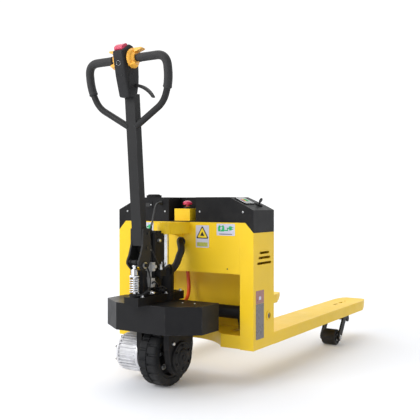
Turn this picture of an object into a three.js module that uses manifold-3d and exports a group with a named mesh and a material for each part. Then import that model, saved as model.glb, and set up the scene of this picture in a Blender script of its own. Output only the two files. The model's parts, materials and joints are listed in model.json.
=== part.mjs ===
// Electric pallet truck with tiller, drawn raised. Millimetres, +Z up, forks toward +Y.
// Every y below is measured from the front face of the chassis; FRONT_FACE_Y moves the whole
// truck so that its box is centred on the origin.
import * as THREE from 'three';
import { mergeVertices } from 'three/addons/utils/BufferGeometryUtils.js';
import Module from 'manifold-3d';

const wasm = await Module();
wasm.setup();

// ---- driving dimensions -------------------------------------------------------------------
const GAP = 0.3; // clearance between touching pieces
const HEAD_FRONT_Y = -420; // foremost point, the nose of the tiller head
const FORK_TIP_Y = 1326; // rearmost point
const FRONT_FACE_Y = -(HEAD_FRONT_Y + FORK_TIP_Y) / 2;

const HALF_WIDTH = 342.5; // over the forks and the chassis
const DEPTH = 176; // chassis, front to back
const CHASSIS_BOTTOM = 151;
const COLUMN_IN = 281; // inner face of the side columns
const BAY_FLOOR = 206;
const BAY_ROOF = 452;
const PANEL_TOP = 659;
const CORNER_X = 305; // where the top edge of the panel starts to slope
const CORNER_Z = 619;
const SHEET = 4;

const COVER_TOP = 762;
const COVER_FLAT_X = 232;
const COVER_SHOULDER = 709;
const RECESS_X = 69;
const RECESS_Y = 90;

const FORK_IN = 182.5;
const FORK_TOP = 200;
const FORK_BOTTOM = 150;
const FORK_MID = (FORK_IN + HALF_WIDTH) / 2;

const STEER_Y = -125; // steering axis, x = 0
const WHEEL_R = 125;
const AXLE_Z = WHEEL_R;
const TYRE_HALF = 42;

const SHAFT_Y = 131; // rocker shaft
const SHAFT_Z = 276;
const SHAFT_R = 12.5;
const TRUNNION_Z = 315;
const TRUNNION_R = 9;
const LEVER = 104; // rocker shaft to push rod pin
const LEVER_ANGLE = 10.35; // degrees behind the vertical when raised
const ROD_PIN_R = 8;

const FRAME_PIN_Y = 1075; // load frame pivot
const FRAME_PIN_Z = 165;
const ROLLER_Y = 980;
const ROLLER_R = 40;
const CRANK = 48.4; // load frame pivot to push rod pin
const CRANK_ANGLE = 22.75;

const LEAN = 4.6; // degrees, tiller toward the operator
const PIVOT_Y = -298; // tiller pivot
const PIVOT_Z = 500;
const PLUNGER_Y = -318;
const TUBE_X = 46;
const TUBE_Y = 34;
const HANDLE_Y = -331; // handle loop at HANDLE_Z, leaning by HANDLE_LEAN
const HANDLE_Z = 1040;
const HANDLE_LEAN = 0.1465;
const BAR_Z = 1277;
const BAR_Y = HANDLE_Y - (BAR_Z - HANDLE_Z) * HANDLE_LEAN;
const BAR_R = 12.5;
const GRIP_R = 16;
const THROTTLE_R = 37;

const rad = THREE.MathUtils.degToRad;
const sin = (degrees) => Math.sin(rad(degrees));
const cos = (degrees) => Math.cos(rad(degrees));

// ---- colours ------------------------------------------------------------------------------
const YELLOW = [0xf2c832, 0.45, 0.0];
const BLACK = [0x2b2b2d, 0.55, 0.1];
const SOFT_BLACK = [0x37373a, 0.75, 0.0];
const RUBBER = [0x1d1e20, 0.9, 0.0];
const CHROME = [0xd8dadd, 0.15, 1.0];
const STEEL = [0x9fa3a8, 0.35, 0.9];
const ALUMINIUM = [0xc9ccd0, 0.45, 0.8];
const RED = [0xd8294f, 0.4, 0.0];
const ORANGE = [0xf0aa3c, 0.5, 0.0];
const CABLE_ORANGE = [0xe8572a, 0.6, 0.0];
const GREY = [0xb9bbbb, 0.5, 0.3];
const BATTERY = [0x4a4f57, 0.7, 0.0];

// ---- building helpers ---------------------------------------------------------------------
const group = new THREE.Group();
group.name = 'electric_pallet_truck';

function node(name, geometry, [color, roughness, metalness]) {
  const placed = geometry.clone();
  placed.translate(0, FRONT_FACE_Y, 0);
  const material = new THREE.MeshStandardMaterial({ color, roughness, metalness });
  const mesh = new THREE.Mesh(placed, material);
  mesh.name = name;
  group.add(mesh);
}

function solid(geometry) {
  const plain = geometry.clone();
  plain.deleteAttribute('normal');
  plain.deleteAttribute('uv');
  const welded = mergeVertices(plain, 1e-4);
  return new wasm.Manifold(
    new wasm.Mesh({
      numProp: 3,
      vertProperties: new Float32Array(welded.attributes.position.array),
      triVerts: new Uint32Array(welded.index.array),
    }),
  );
}

function shape(manifold) {
  const { vertProperties, triVerts } = manifold.getMesh();
  const geometry = new THREE.BufferGeometry();
  geometry.setAttribute('position', new THREE.BufferAttribute(vertProperties, 3));
  geometry.setIndex(new THREE.BufferAttribute(triVerts, 1));
  const flat = geometry.toNonIndexed();
  flat.computeVertexNormals();
  return flat;
}

const join = (...parts) => shape(parts.map(solid).reduce((sum, part) => sum.add(part)));
const cut = (body, ...tools) =>
  shape(tools.map(solid).reduce((rest, tool) => rest.subtract(tool), solid(body)));
const meet = (a, b) => shape(solid(a).intersect(solid(b)));

function mirrored(geometry) {
  const copy = geometry.index ? geometry.toNonIndexed() : geometry.clone();
  const p = copy.attributes.position;
  for (let i = 0; i < p.count; i += 3) {
    const [a, b, c] = [0, 1, 2].map((k) => new THREE.Vector3().fromBufferAttribute(p, i + k));
    [a, c, b].forEach((v, k) => p.setXYZ(i + k, -v.x, v.y, v.z));
  }
  copy.computeVertexNormals();
  return copy;
}

function pair(name, geometry, finish) {
  node(`${name}_right`, geometry, finish);
  node(`${name}_left`, mirrored(geometry), finish);
}

function box(x0, x1, y0, y1, z0, z1) {
  const geometry = new THREE.BoxGeometry(x1 - x0, y1 - y0, z1 - z0);
  geometry.translate((x0 + x1) / 2, (y0 + y1) / 2, (z0 + z1) / 2);
  return geometry;
}

function extruded(outline, depth) {
  const flat = outline instanceof THREE.Shape ? outline : new THREE.Shape(
    outline.map(([u, v]) => new THREE.Vector2(u, v)));
  return new THREE.ExtrudeGeometry(flat, { depth, bevelEnabled: false, curveSegments: 6 });
}

// Outlines in plan (x, y), from the front (x, z) and from the side (y, z).
function planPrism(outline, z0, z1) {
  const geometry = extruded(outline, z1 - z0);
  geometry.translate(0, 0, z0);
  return geometry;
}

function frontPrism(outline, y0, y1) {
  const geometry = extruded(outline, y1 - y0);
  geometry.rotateX(Math.PI / 2);
  geometry.translate(0, y1, 0);
  return geometry;
}

function sidePrism(outline, x0, x1) {
  const geometry = extruded(outline, x1 - x0);
  geometry.applyMatrix4(new THREE.Matrix4().set(0, 0, 1, x0, 1, 0, 0, 0, 0, 1, 0, 0, 0, 0, 0, 1));
  return geometry;
}

function alongX(radius, x0, x1, y, z, sides = 16) {
  const geometry = new THREE.CylinderGeometry(radius, radius, x1 - x0, sides);
  geometry.rotateZ(Math.PI / 2);
  geometry.translate((x0 + x1) / 2, y, z);
  return geometry;
}

function alongY(radius, y0, y1, x, z, sides = 16) {
  const geometry = new THREE.CylinderGeometry(radius, radius, y1 - y0, sides);
  geometry.translate(x, (y0 + y1) / 2, z);
  return geometry;
}

function alongZ(radius, z0, z1, x, y, sides = 16) {
  const geometry = new THREE.CylinderGeometry(radius, radius, z1 - z0, sides);
  geometry.rotateX(Math.PI / 2);
  geometry.translate(x, y, (z0 + z1) / 2);
  return geometry;
}

// A lathe about a vertical axis; profile points are (radius, z).
function turned(profile, x, y, sides = 32) {
  const points = profile.map(([r, z]) => new THREE.Vector2(r, z));
  const geometry = new THREE.LatheGeometry(points, sides);
  geometry.rotateX(Math.PI / 2);
  geometry.translate(x, y, 0);
  return geometry;
}

// The same lathe laid along x; profile points are (radius, x).
function turnedAlongX(profile, y, z, sides = 32) {
  const points = profile.map(([r, x]) => new THREE.Vector2(r, x));
  const geometry = new THREE.LatheGeometry(points, sides);
  geometry.rotateZ(-Math.PI / 2);
  geometry.translate(0, y, z);
  return geometry;
}

function tube(points, radius, steps, sides = 12) {
  const curve = new THREE.CatmullRomCurve3(
    points.map(([x, y, z]) => new THREE.Vector3(x, y, z)), false, 'centripetal');
  return sweep(curve, radius, steps, sides);
}

function sweep(curve, radius, steps, sides) {
  const circle = new THREE.Shape();
  for (let i = 0; i <= sides; i += 1) {
    const angle = (i / sides) * 2 * Math.PI;
    const [u, v] = [radius * Math.cos(angle), radius * Math.sin(angle)];
    if (i === 0) circle.moveTo(u, v);
    else if (i < sides) circle.lineTo(u, v);
  }
  return new THREE.ExtrudeGeometry(circle, { steps, bevelEnabled: false, extrudePath: curve });
}

// A flat link with round ends in the side plane, from (y0, z0) to (y1, z1).
function link(y0, z0, r0, y1, z1, r1, x0, x1) {
  const along = Math.atan2(z1 - z0, y1 - y0);
  const outline = [];
  const arc = (y, z, r, from) => {
    for (let i = 0; i <= 5; i += 1) {
      const angle = along + from + (i / 5) * Math.PI;
      outline.push([y + r * Math.cos(angle), z + r * Math.sin(angle)]);
    }
  };
  arc(y1, z1, r1, -Math.PI / 2);
  arc(y0, z0, r0, Math.PI / 2);
  return sidePrism(outline, x0, x1);
}

// ---- chassis ------------------------------------------------------------------------------
const columnOutline = [
  [COLUMN_IN, CHASSIS_BOTTOM],
  [HALF_WIDTH, CHASSIS_BOTTOM],
  [HALF_WIDTH, CORNER_Z - GAP],
  [CORNER_X, PANEL_TOP - GAP],
  [COLUMN_IN, PANEL_TOP - GAP],
];
const VENTS = [
  { z: 537, y0: 56, y1: 129 },
  { z: 517, y0: 48, y1: 139 },
  { z: 495, y0: 36, y1: 148 },
];
const BUSH_R = 22.2;
const ventCut = ({ z, y0, y1 }) => link(y0, z, 5, y1, z, 5, HALF_WIDTH - 10, HALF_WIDTH + 5);
pair('side_box', cut(
  join(
    cut(
      frontPrism(columnOutline, 0, DEPTH),
      box(COLUMN_IN + SHEET, HALF_WIDTH - SHEET, SHEET, DEPTH - SHEET, 100, 700),
    ),
    alongX(BUSH_R, COLUMN_IN - 2, HALF_WIDTH + 2.5, SHAFT_Y, SHAFT_Z, 20),
  ),
  alongX(SHAFT_R + GAP, COLUMN_IN - 9, HALF_WIDTH + 9, SHAFT_Y, SHAFT_Z),
  ...VENTS.map(ventCut),
), YELLOW);

const PANEL_HALF = COLUMN_IN - GAP;
const CONDUIT_HOLE = { x: -6, z: 575, r: 19 };
node('front_panel', cut(
  box(-PANEL_HALF, PANEL_HALF, 0, SHEET, BAY_ROOF, PANEL_TOP - GAP),
  alongY(CONDUIT_HOLE.r, -5, 10, CONDUIT_HOLE.x, CONDUIT_HOLE.z),
  alongY(3, -5, 10, 222, BAY_ROOF + 19, 12),
), YELLOW);
node('battery_tray', cut(
  box(-PANEL_HALF, PANEL_HALF, SHEET + GAP, DEPTH - SHEET - GAP, BAY_ROOF, BAY_ROOF + SHEET),
  alongZ(13, 440, 470, -62, 132, 20),
), YELLOW);
node('back_plate', cut(
  box(-PANEL_HALF, PANEL_HALF, DEPTH - SHEET, DEPTH, BAY_FLOOR + GAP, PANEL_TOP - GAP),
  ...[-180, -60, 60, 180].map((x) => box(x - 40, x + 40, 170, 180, 590, 600)),
), YELLOW);

const CUTOUT_R = 228;
const skirt = (inset, z0, z1) => {
  const notchIn = FORK_IN + 5.5;
  const notchOut = notchIn + 33;
  return cut(
    box(-PANEL_HALF + inset, PANEL_HALF - inset, inset, DEPTH - GAP - inset, z0, z1),
    alongZ(CUTOUT_R + inset, 100, 300, 0, STEER_Y, 56),
    ...[1, -1].map((side) => {
      const xs = [side * (notchIn - inset), side * (notchOut + inset)].sort((a, b) => a - b);
      return box(xs[0], xs[1], 70 - inset, DEPTH + 5, 100, 300);
    }),
  );
};
node('base_plate', cut(
  skirt(0, CHASSIS_BOTTOM + 2, BAY_FLOOR),
  skirt(5, CHASSIS_BOTTOM - 5, BAY_FLOOR - 5),
), YELLOW);

// ---- forks --------------------------------------------------------------------------------
const forkPlan = (inset) => [
  [FORK_IN + inset, DEPTH + GAP - inset * 2],
  [HALF_WIDTH - inset, DEPTH + GAP - inset * 2],
  [HALF_WIDTH - inset, 1236],
  [336 - inset, 1276],
  [324 - inset, FORK_TIP_Y - 12 - inset],
  [308 - inset * 0.6, FORK_TIP_Y - inset],
  [217 + inset * 0.6, FORK_TIP_Y - inset],
  [201 + inset, FORK_TIP_Y - 12 - inset],
  [189 + inset, 1276],
  [FORK_IN + inset, 1236],
];
const FORK_WALL = 6;
const tipBevel = sidePrism([
  [1244, 100], [1244, FORK_BOTTOM], [FORK_TIP_Y + 10, 190], [FORK_TIP_Y + 10, 100],
], 100, 400);
const forkSlot = (x, y0, y1) => planPrism(slotOutline(x, y0, y1, 7), 180, 220);
function slotOutline(x, y0, y1, r) {
  const outline = new THREE.Shape();
  outline.absarc(x, y1, r, 0, Math.PI, false);
  outline.absarc(x, y0, r, Math.PI, 2 * Math.PI, false);
  return outline;
}
const forkPocket = meet(
  planPrism(forkPlan(FORK_WALL), 100, FORK_TOP - 7),
  sidePrism([[100, 100], [100, 300], [1290, 300], [1290, 190], [1250, 100]], 100, 400),
);
const FRAME_PIN_R = 9.7;
pair('fork', join(
  cut(
    planPrism(forkPlan(0), FORK_BOTTOM, FORK_TOP),
    forkPocket,
    tipBevel,
    forkSlot(FORK_MID, 1030, 1062),
    forkSlot(FORK_MID, 1104, 1136),
    alongZ(6, 180, 220, FORK_MID, 1180, 16),
  ),
  alongX(FRAME_PIN_R, FORK_IN + 1, HALF_WIDTH - 1, FRAME_PIN_Y, FRAME_PIN_Z),
), YELLOW);

// ---- top cover ----------------------------------------------------------------------------
const coverFront = (inset) => [
  [-HALF_WIDTH + inset, CORNER_Z - inset],
  [-CORNER_X, PANEL_TOP - inset * 1.4],
  [CORNER_X, PANEL_TOP - inset * 1.4],
  [HALF_WIDTH - inset, CORNER_Z - inset],
  [HALF_WIDTH - inset, COVER_SHOULDER - inset * 0.7],
  [COVER_FLAT_X - inset * 0.3, COVER_TOP - inset],
  [-COVER_FLAT_X + inset * 0.3, COVER_TOP - inset],
  [-HALF_WIDTH + inset, COVER_SHOULDER - inset * 0.7],
];
const coverSide = (inset) => [
  [inset, 500],
  [DEPTH - inset, 500],
  [DEPTH - inset, COVER_TOP - 34 - inset],
  [DEPTH - 22 - inset * 0.5, COVER_TOP - inset],
  [inset, COVER_TOP - inset],
];
const coverShell = (inset) =>
  meet(frontPrism(coverFront(inset), -20, 220), sidePrism(coverSide(inset), -400, 400));
const recessWalls = box(
  -RECESS_X - SHEET, RECESS_X + SHEET, -5, RECESS_Y + SHEET, PANEL_TOP, 800);
const METER = { x: 268, y: 60, halfX: 24, halfY: 34 };
const KEY = { x: 300, y: 122 };
const SHOULDER_SLOPE = Math.atan2(COVER_TOP - COVER_SHOULDER, HALF_WIDTH - COVER_FLAT_X);
const shoulderZ = (x) => COVER_TOP - (x - COVER_FLAT_X) * Math.tan(SHOULDER_SLOPE);
// Places a piece drawn about the origin, z outward, on the right shoulder of the cover.
function onShoulder(geometry, x, y) {
  geometry.rotateY(SHOULDER_SLOPE);
  geometry.translate(x, y, shoulderZ(x));
  return geometry;
}
const coverInside = cut(coverShell(SHEET), recessWalls);
node('top_cover', cut(
  cut(coverShell(0), coverInside),
  box(-RECESS_X, RECESS_X, -5, RECESS_Y, PANEL_TOP + SHEET, 800),
  onShoulder(box(-METER.halfX, METER.halfX, -METER.halfY, METER.halfY, -30, 30),
    METER.x, METER.y),
  onShoulder(alongZ(13, -30, 30, 0, 0), KEY.x, KEY.y),
), SOFT_BLACK);

node('battery_meter', onShoulder(join(
  box(-METER.halfX + GAP, METER.halfX - GAP, -METER.halfY + GAP, METER.halfY - GAP, -26, 0.5),
  box(-METER.halfX - 4, METER.halfX + 4, -METER.halfY - 4, METER.halfY + 4, 0.4, 4),
), METER.x, METER.y), BLACK);
const keyTurned = new THREE.LatheGeometry([
  [3, -30], [12.7, -30], [12.7, 0.4], [17, 0.4], [17, 4], [12, 7], [3, 7], [3, -30],
].map(([r, z]) => new THREE.Vector2(r, z)), 28);
keyTurned.rotateX(Math.PI / 2);
node('key_switch', onShoulder(keyTurned, KEY.x, KEY.y), CHROME);
node('key', onShoulder(join(
  alongZ(2.6, -24, 12, 0, 0, 12),
  alongX(11, -1.6, 1.6, 0, 21, 20),
), KEY.x, KEY.y), STEEL);

node('charging_socket', join(
  box(-204, -156, 20, 66, COVER_TOP + GAP, COVER_TOP + 10),
  box(-199, -161, 25, 61, COVER_TOP + 9, COVER_TOP + 13),
), BLACK);
// ---- inside the chassis -------------------------------------------------------------------
function battery(x0, x1) {
  const posts = [x0 + 30, x1 - 30].map((x) => alongZ(8, 610, 628, x, 60, 16));
  const ribs = [0.25, 0.5, 0.75].map((t) => {
    const x = x0 + (x1 - x0) * t;
    return box(x - 3, x + 3, 10, 164, 480, 580);
  });
  return join(box(x0, x1, 14, 160, BAY_ROOF + SHEET + GAP, 612), ...posts, ...ribs);
}
node('battery_right', battery(40, 272), BATTERY);
node('battery_left', battery(-272, -76), BATTERY);
const fins = (x0, x1, y0, y1, z0, z1, count) => Array.from({ length: count }, (_, i) => {
  const x = x0 + ((i + 0.5) / count) * (x1 - x0);
  return box(x - 1.5, x + 1.5, y0, y1, z0, z1);
});
node('motor_controller', join(
  box(100, 210, 30, 150, 640, 680), ...fins(102, 208, 32, 148, 679, 700, 10),
), ALUMINIUM);
node('charger', join(
  box(-215, -95, 30, 150, 640, 690), ...fins(-213, -97, 32, 148, 689, 705, 8),
), GREY);

// ---- ram bracket and rod ------------------------------------------------------------------
const BRACKET_BOTTOM = 612;
const RAM_R = 17.5;
function bracketPlan() {
  const outline = new THREE.Shape();
  outline.moveTo(-40, -GAP);
  outline.lineTo(-40, -70);
  outline.lineTo(-29, STEER_Y + 5);
  outline.absarc(0, STEER_Y, 30, Math.PI - 0.1, 2 * Math.PI + 0.1, false);
  outline.lineTo(40, -70);
  outline.lineTo(40, -GAP);
  return outline;
}
const gusset = sidePrism([[-100, BRACKET_BOTTOM + 2], [-GAP, BRACKET_BOTTOM + 2], [-GAP, 594]],
  -4, 4);
node('ram_bracket', cut(
  join(planPrism(bracketPlan(), BRACKET_BOTTOM, PANEL_TOP), gusset),
  alongZ(RAM_R + GAP, 500, 641, 0, STEER_Y, 32),
), YELLOW);
node('ram_rod', turned([
  [0, 396], [19, 396], [19, 412], [RAM_R, 412], [RAM_R, 640], [0, 640],
], 0, STEER_Y, 24), CHROME);

// ---- emergency stop -----------------------------------------------------------------------
const ESTOP_Y = 41;
node('estop_box', cut(
  join(
    box(-39, 39, 0, 80, PANEL_TOP + SHEET + GAP, 714),
    turned([[0, 713], [17, 713], [17, 719], [13, 723], [0, 723]], 0, ESTOP_Y, 28),
  ),
  alongZ(8.4, 690, 730, 0, ESTOP_Y, 28),
), YELLOW);
node('estop_button', turned([
  [0, 702], [8, 702], [8, 730], [19, 731], [20, 735], [18, 742], [11, 747], [0, 748],
], 0, ESTOP_Y, 28), RED);

// ---- rocker -------------------------------------------------------------------------------
const TINE_X = [80, 92];
const TINE_ANGLE = 8.99; // degrees above the horizontal when raised
const TINE_END = 308;
const SLOT = [256, 297]; // ends of the slot's centreline from the shaft
const tinePoint = (d) => [SHAFT_Y - d * cos(TINE_ANGLE), SHAFT_Z + d * sin(TINE_ANGLE)];
function tine() {
  const [y0, z0] = tinePoint(0);
  const [y1, z1] = tinePoint(TINE_END - 8);
  const [ya, za] = tinePoint(SLOT[0]);
  const [yb, zb] = tinePoint(SLOT[1]);
  const slotR = TRUNNION_R + 2.2;
  return cut(
    link(y0, z0, 26, y1, z1, 16, ...TINE_X),
    link(ya, za, slotR, yb, zb, slotR, TINE_X[0] - 5, TINE_X[1] + 5),
  );
}
const LEVER_X = [205, 217];
const leverPinY = SHAFT_Y + LEVER * sin(LEVER_ANGLE);
const leverPinZ = SHAFT_Z - LEVER * cos(LEVER_ANGLE);
const rightArm = join(
  tine(),
  link(SHAFT_Y, SHAFT_Z, 28, leverPinY, leverPinZ, 13, ...LEVER_X),
  alongX(ROD_PIN_R, 190, LEVER_X[0] + 1, leverPinY, leverPinZ),
);
node('rocker_arm', join(
  alongX(28, -LEVER_X[1], LEVER_X[1], SHAFT_Y, SHAFT_Z, 20),
  alongX(SHAFT_R, -340, 340, SHAFT_Y, SHAFT_Z),
  rightArm,
  mirrored(rightArm),
), BLACK);

// ---- push rods and load frames ------------------------------------------------------------
const ROD_X = [191, 203];
const crankPinY = FRAME_PIN_Y + CRANK * sin(CRANK_ANGLE);
const crankPinZ = FRAME_PIN_Z - CRANK * cos(CRANK_ANGLE);
function eye(y, z) {
  const slotR = ROD_PIN_R + 1.2;
  return link(y, z - 5, slotR, y, z + 5, slotR, ROD_X[0] - 5, ROD_X[1] + 5);
}
pair('push_rod', cut(
  join(
    link(leverPinY, leverPinZ, 11, crankPinY, crankPinZ, 11, ...ROD_X),
    link(leverPinY, leverPinZ - 5, 15, leverPinY, leverPinZ + 5, 15, ...ROD_X),
    link(crankPinY, crankPinZ - 5, 15, crankPinY, crankPinZ + 5, 15, ...ROD_X),
  ),
  eye(leverPinY, leverPinZ),
  eye(crankPinY, crankPinZ),
), BLACK);

const FRAME_IN = [211, 219];
const FRAME_OUT = [306, 314];
const AXLE_PIN_R = 8;
const framePlate = ([x0, x1]) => join(
  link(FRAME_PIN_Y, FRAME_PIN_Z, 20, ROLLER_Y, ROLLER_R, 19, x0, x1),
  link(FRAME_PIN_Y, FRAME_PIN_Z, 20, crankPinY, crankPinZ, 15, x0, x1),
);
pair('load_frame', cut(
  join(
    framePlate(FRAME_IN),
    alongX(AXLE_PIN_R, FRAME_IN[0] - 3, FRAME_OUT[1] + 3, ROLLER_Y, ROLLER_R),
    framePlate(FRAME_OUT),
    alongX(15, FRAME_IN[0] + 1, FRAME_OUT[1] - 1, FRAME_PIN_Y, FRAME_PIN_Z),
    alongX(ROD_PIN_R, 190, FRAME_OUT[1] - 1, crankPinY, crankPinZ),
  ),
  alongX(10, 200, 330, FRAME_PIN_Y, FRAME_PIN_Z),
), BLACK);
pair('load_roller', turnedAlongX([
  [AXLE_PIN_R + GAP, 225], [38, 225], [ROLLER_R, 227], [ROLLER_R, 298], [38, 300],
  [AXLE_PIN_R + GAP, 300], [AXLE_PIN_R + GAP, 225],
], ROLLER_Y, ROLLER_R, 28), SOFT_BLACK);

// ---- carriage ring ------------------------------------------------------------------------
const NECK_R = 44;
node('carriage_ring', join(
  turned([
    [NECK_R + 2, 300], [72, 300], [74, 302], [74, 328], [72, 330], [NECK_R + 2, 330],
    [NECK_R + 2, 300],
  ], 0, STEER_Y, 28),
  alongX(TRUNNION_R, 70, 96, STEER_Y, TRUNNION_Z),
  alongX(TRUNNION_R, -96, -70, STEER_Y, TRUNNION_Z),
), STEEL);

// ---- drive unit ---------------------------------------------------------------------------
const CROWN_Z = [255, 268];
node('thrust_bearing', turned([
  [NECK_R + 1, CROWN_Z[1] + GAP], [66, CROWN_Z[1] + GAP], [66, 299.5], [NECK_R + 1, 299.5],
  [NECK_R + 1, CROWN_Z[1] + GAP],
], 0, STEER_Y, 28), STEEL);

const GUARD_TOP = 345;
const GUARD_BOTTOM = 237;
const guardPlan = (inset) => {
  const chamfer = inset * 0.42;
  return [
    [-234 + inset, STEER_Y + 40 + inset * 3],
    [-234 + inset, STEER_Y - 80 + chamfer],
    [-120 + chamfer, STEER_Y - 160 + inset],
    [120 - chamfer, STEER_Y - 160 + inset],
    [234 - inset, STEER_Y - 80 + chamfer],
    [234 - inset, STEER_Y + 40 + inset * 3],
  ];
};
node('guard', cut(
  planPrism(guardPlan(0), GUARD_BOTTOM, GUARD_TOP),
  planPrism(guardPlan(5), 200, GUARD_TOP - 4),
  alongZ(NECK_R + 2, 300, 360, 0, STEER_Y, 28),
), BLACK);

// Side cheek of the wheel fork: straight down from the top, round at the bottom.
function cheek(halfTop, r, x0, x1) {
  const outline = new THREE.Shape();
  outline.moveTo(STEER_Y - halfTop, 235);
  outline.lineTo(STEER_Y - halfTop, 160);
  outline.absarc(STEER_Y, AXLE_Z, r, Math.PI, 2 * Math.PI, false);
  outline.lineTo(STEER_Y + halfTop, 160);
  outline.lineTo(STEER_Y + halfTop, 235);
  return sidePrism(outline, x0, x1);
}
const CHEEK_X = [57, 82];
const AXLE_R = 15;
const MOTOR_Z = 118;
node('wheel_fork', cut(
  join(
    turned([[0, CROWN_Z[0]], [90, CROWN_Z[0]], [90, CROWN_Z[1]], [0, CROWN_Z[1]]], 0, STEER_Y, 32),
    cheek(84, 77, ...CHEEK_X),
    cheek(78, 70, -CHEEK_X[1], -CHEEK_X[0]),
    box(CHEEK_X[0], 75, STEER_Y - 45, STEER_Y + 45, 230, 256),
    box(-75, -CHEEK_X[0], STEER_Y - 45, STEER_Y + 45, 230, 256),
    box(-75, 75, STEER_Y - 52, STEER_Y - 46, 236, 256),
  ),
  box(-CHEEK_X[0] + 2, CHEEK_X[0] - 2, STEER_Y - 60, STEER_Y - 45.9, 220, 254.9),
  alongX(AXLE_R + GAP, CHEEK_X[0] - 5, CHEEK_X[0] + 12, STEER_Y, AXLE_Z, 20),
  alongX(AXLE_R + GAP, -CHEEK_X[0] - 12, -CHEEK_X[0] + 5, STEER_Y, AXLE_Z, 20),
), BLACK);
node('drive_axle', alongX(AXLE_R, -CHEEK_X[0] - 11, CHEEK_X[0] + 11, STEER_Y, AXLE_Z, 20), STEEL);

const COVER_R = 64;
const boltCircle = (count, r, y, z, x0, x1, head) => Array.from({ length: count }, (_, i) => {
  const angle = ((i + 0.5) / count) * 2 * Math.PI;
  return alongX(head, x0, x1, y + r * Math.cos(angle), z + r * Math.sin(angle), 6);
});
node('gearbox_cover', join(
  turnedAlongX([
    [0, CHEEK_X[1] + GAP], [COVER_R, CHEEK_X[1] + GAP], [COVER_R, 90], [COVER_R - 3, 92.5],
    [34, 92.5], [31, 96], [12, 96], [10, 98], [0, 98],
  ], STEER_Y, AXLE_Z - 3, 24),
  ...boltCircle(6, 49, STEER_Y, AXLE_Z - 3, 92, 96.5, 6),
), BLACK);

const MOTOR_FINS = 20;
const motorFins = Array.from({ length: MOTOR_FINS }, (_, i) => {
  const fin = box(-190, -94, -1.3, 1.3, 60, 79);
  fin.rotateX(((i + 0.37) / MOTOR_FINS) * 2 * Math.PI);
  fin.translate(0, STEER_Y, MOTOR_Z);
  return fin;
});
node('drive_motor', join(
  turnedAlongX([
    [0, -205], [40, -205], [62, -199], [75, -187], [67, -186], [67, -98], [76, -97],
    [76, -CHEEK_X[1] - GAP], [0, -CHEEK_X[1] - GAP],
  ], STEER_Y, MOTOR_Z, 20),
  ...motorFins,
), ALUMINIUM);

const GROOVES = 9;
const tread = (side) => Array.from({ length: GROOVES }, (_, i) => {
  const angle = ((i + (side > 0 ? 0 : 0.5)) / GROOVES) * 2 * Math.PI;
  const groove = box(side > 0 ? 7 : -50, side > 0 ? 50 : -7, -4, 4, WHEEL_R - 5, WHEEL_R + 5);
  groove.rotateX(angle);
  groove.translate(0, STEER_Y, AXLE_Z);
  return groove;
});
const TYRE_BORE = 92;
node('drive_tyre', cut(
  turnedAlongX([
    [TYRE_BORE, -40], [112, -TYRE_HALF], [120, -TYRE_HALF], [WHEEL_R, -35], [WHEEL_R, 35],
    [120, TYRE_HALF], [112, TYRE_HALF], [TYRE_BORE, 40], [TYRE_BORE, -40],
  ], STEER_Y, AXLE_Z, 36),
  ...tread(1),
  ...tread(-1),
), RUBBER);
const HUB_R = TYRE_BORE - 0.9;
node('drive_hub', turnedAlongX([
  [AXLE_R + GAP, -40], [36, -40], [40, -14], [78, -14], [82, -38], [HUB_R, -38], [HUB_R, 38],
  [82, 38], [78, 14], [40, 14], [36, 40], [AXLE_R + GAP, 40], [AXLE_R + GAP, -40],
], STEER_Y, AXLE_Z, 24), STEEL);

// ---- pump ---------------------------------------------------------------------------------
const BORE_R = 20;
const FOOT_Z = [GUARD_TOP + GAP, 378];
const BRACKET_X = [16, 23];
const PIN_R = 8;
// The cheek stands back below the pivot, clear of the spring and of the swinging cam pin.
const bracketCheek = sidePrism([
  [-296, FOOT_Z[1] - 4], [-296, 464], [-302, 474], [-305, 485], [-311, 491], [-313, 500],
  [-310, 508], [-304, 513], [-290, 513], [-284, 504], [-268, 420], [-264, FOOT_Z[1] - 4],
], ...BRACKET_X);
node('pump_body', cut(
  join(
    alongZ(NECK_R, CROWN_Z[1] + GAP, FOOT_Z[1], 0, STEER_Y, 28),
    box(-42, 42, -135, -48, FOOT_Z[0], FOOT_Z[1]),
    box(-34, 34, -340, -120, FOOT_Z[0], FOOT_Z[1]),
    turned([[0, 370], [21, 370], [21, 386], [19, 390], [0, 390]], 0, PLUNGER_Y, 24),
    bracketCheek,
    mirrored(bracketCheek),
    box(-19, 19, -286, -240, 370, 404),
  ),
  alongZ(BORE_R, 288, 390, 0, STEER_Y, 28),
  alongX(PIN_R + GAP, -40, 40, PIVOT_Y, PIVOT_Z),
  alongZ(6.3, 340, 400, 0, PLUNGER_Y, 16),
), BLACK);
node('lift_cylinder', turned([
  [BORE_R, FOOT_Z[1] + GAP], [38, FOOT_Z[1] + GAP], [38, 470], [33, 481], [RAM_R + 0.5, 481],
  [RAM_R + 0.5, 470], [BORE_R, 468], [BORE_R, FOOT_Z[1] + GAP],
], 0, STEER_Y, 28), BLACK);
const BLOCK_Y = [-231, -173];
node('valve_block', join(
  box(-30, 30, BLOCK_Y[0], BLOCK_Y[1], 505, 618),
  box(-22, 24, BLOCK_Y[0] + 5, BLOCK_Y[1] - 4, FOOT_Z[1] + GAP, 506),
  box(-24, 24, BLOCK_Y[0] + 6, BLOCK_Y[1] - 6, 617, 628),
  alongZ(9, 500, 622, 24, BLOCK_Y[0] + 1, 20),
  alongZ(9, 500, 622, -20, BLOCK_Y[0] + 1, 20),
  box(20, 52, -222, -186, 452, 476),
  alongZ(8, 440, 454, 38, -204, 6),
), BLACK);
node('fittings', join(
  box(4, 40, -258, -240.5, 474, 508),
  alongX(7, 38, 50, -249, 492, 6),
  box(2, 38, -262, -240.5, 412, 446),
  alongX(8, 36, 46, -250, 430, 6),
  box(8, 22, -250, -240.5, 440, 480),
), GREY);
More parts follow.
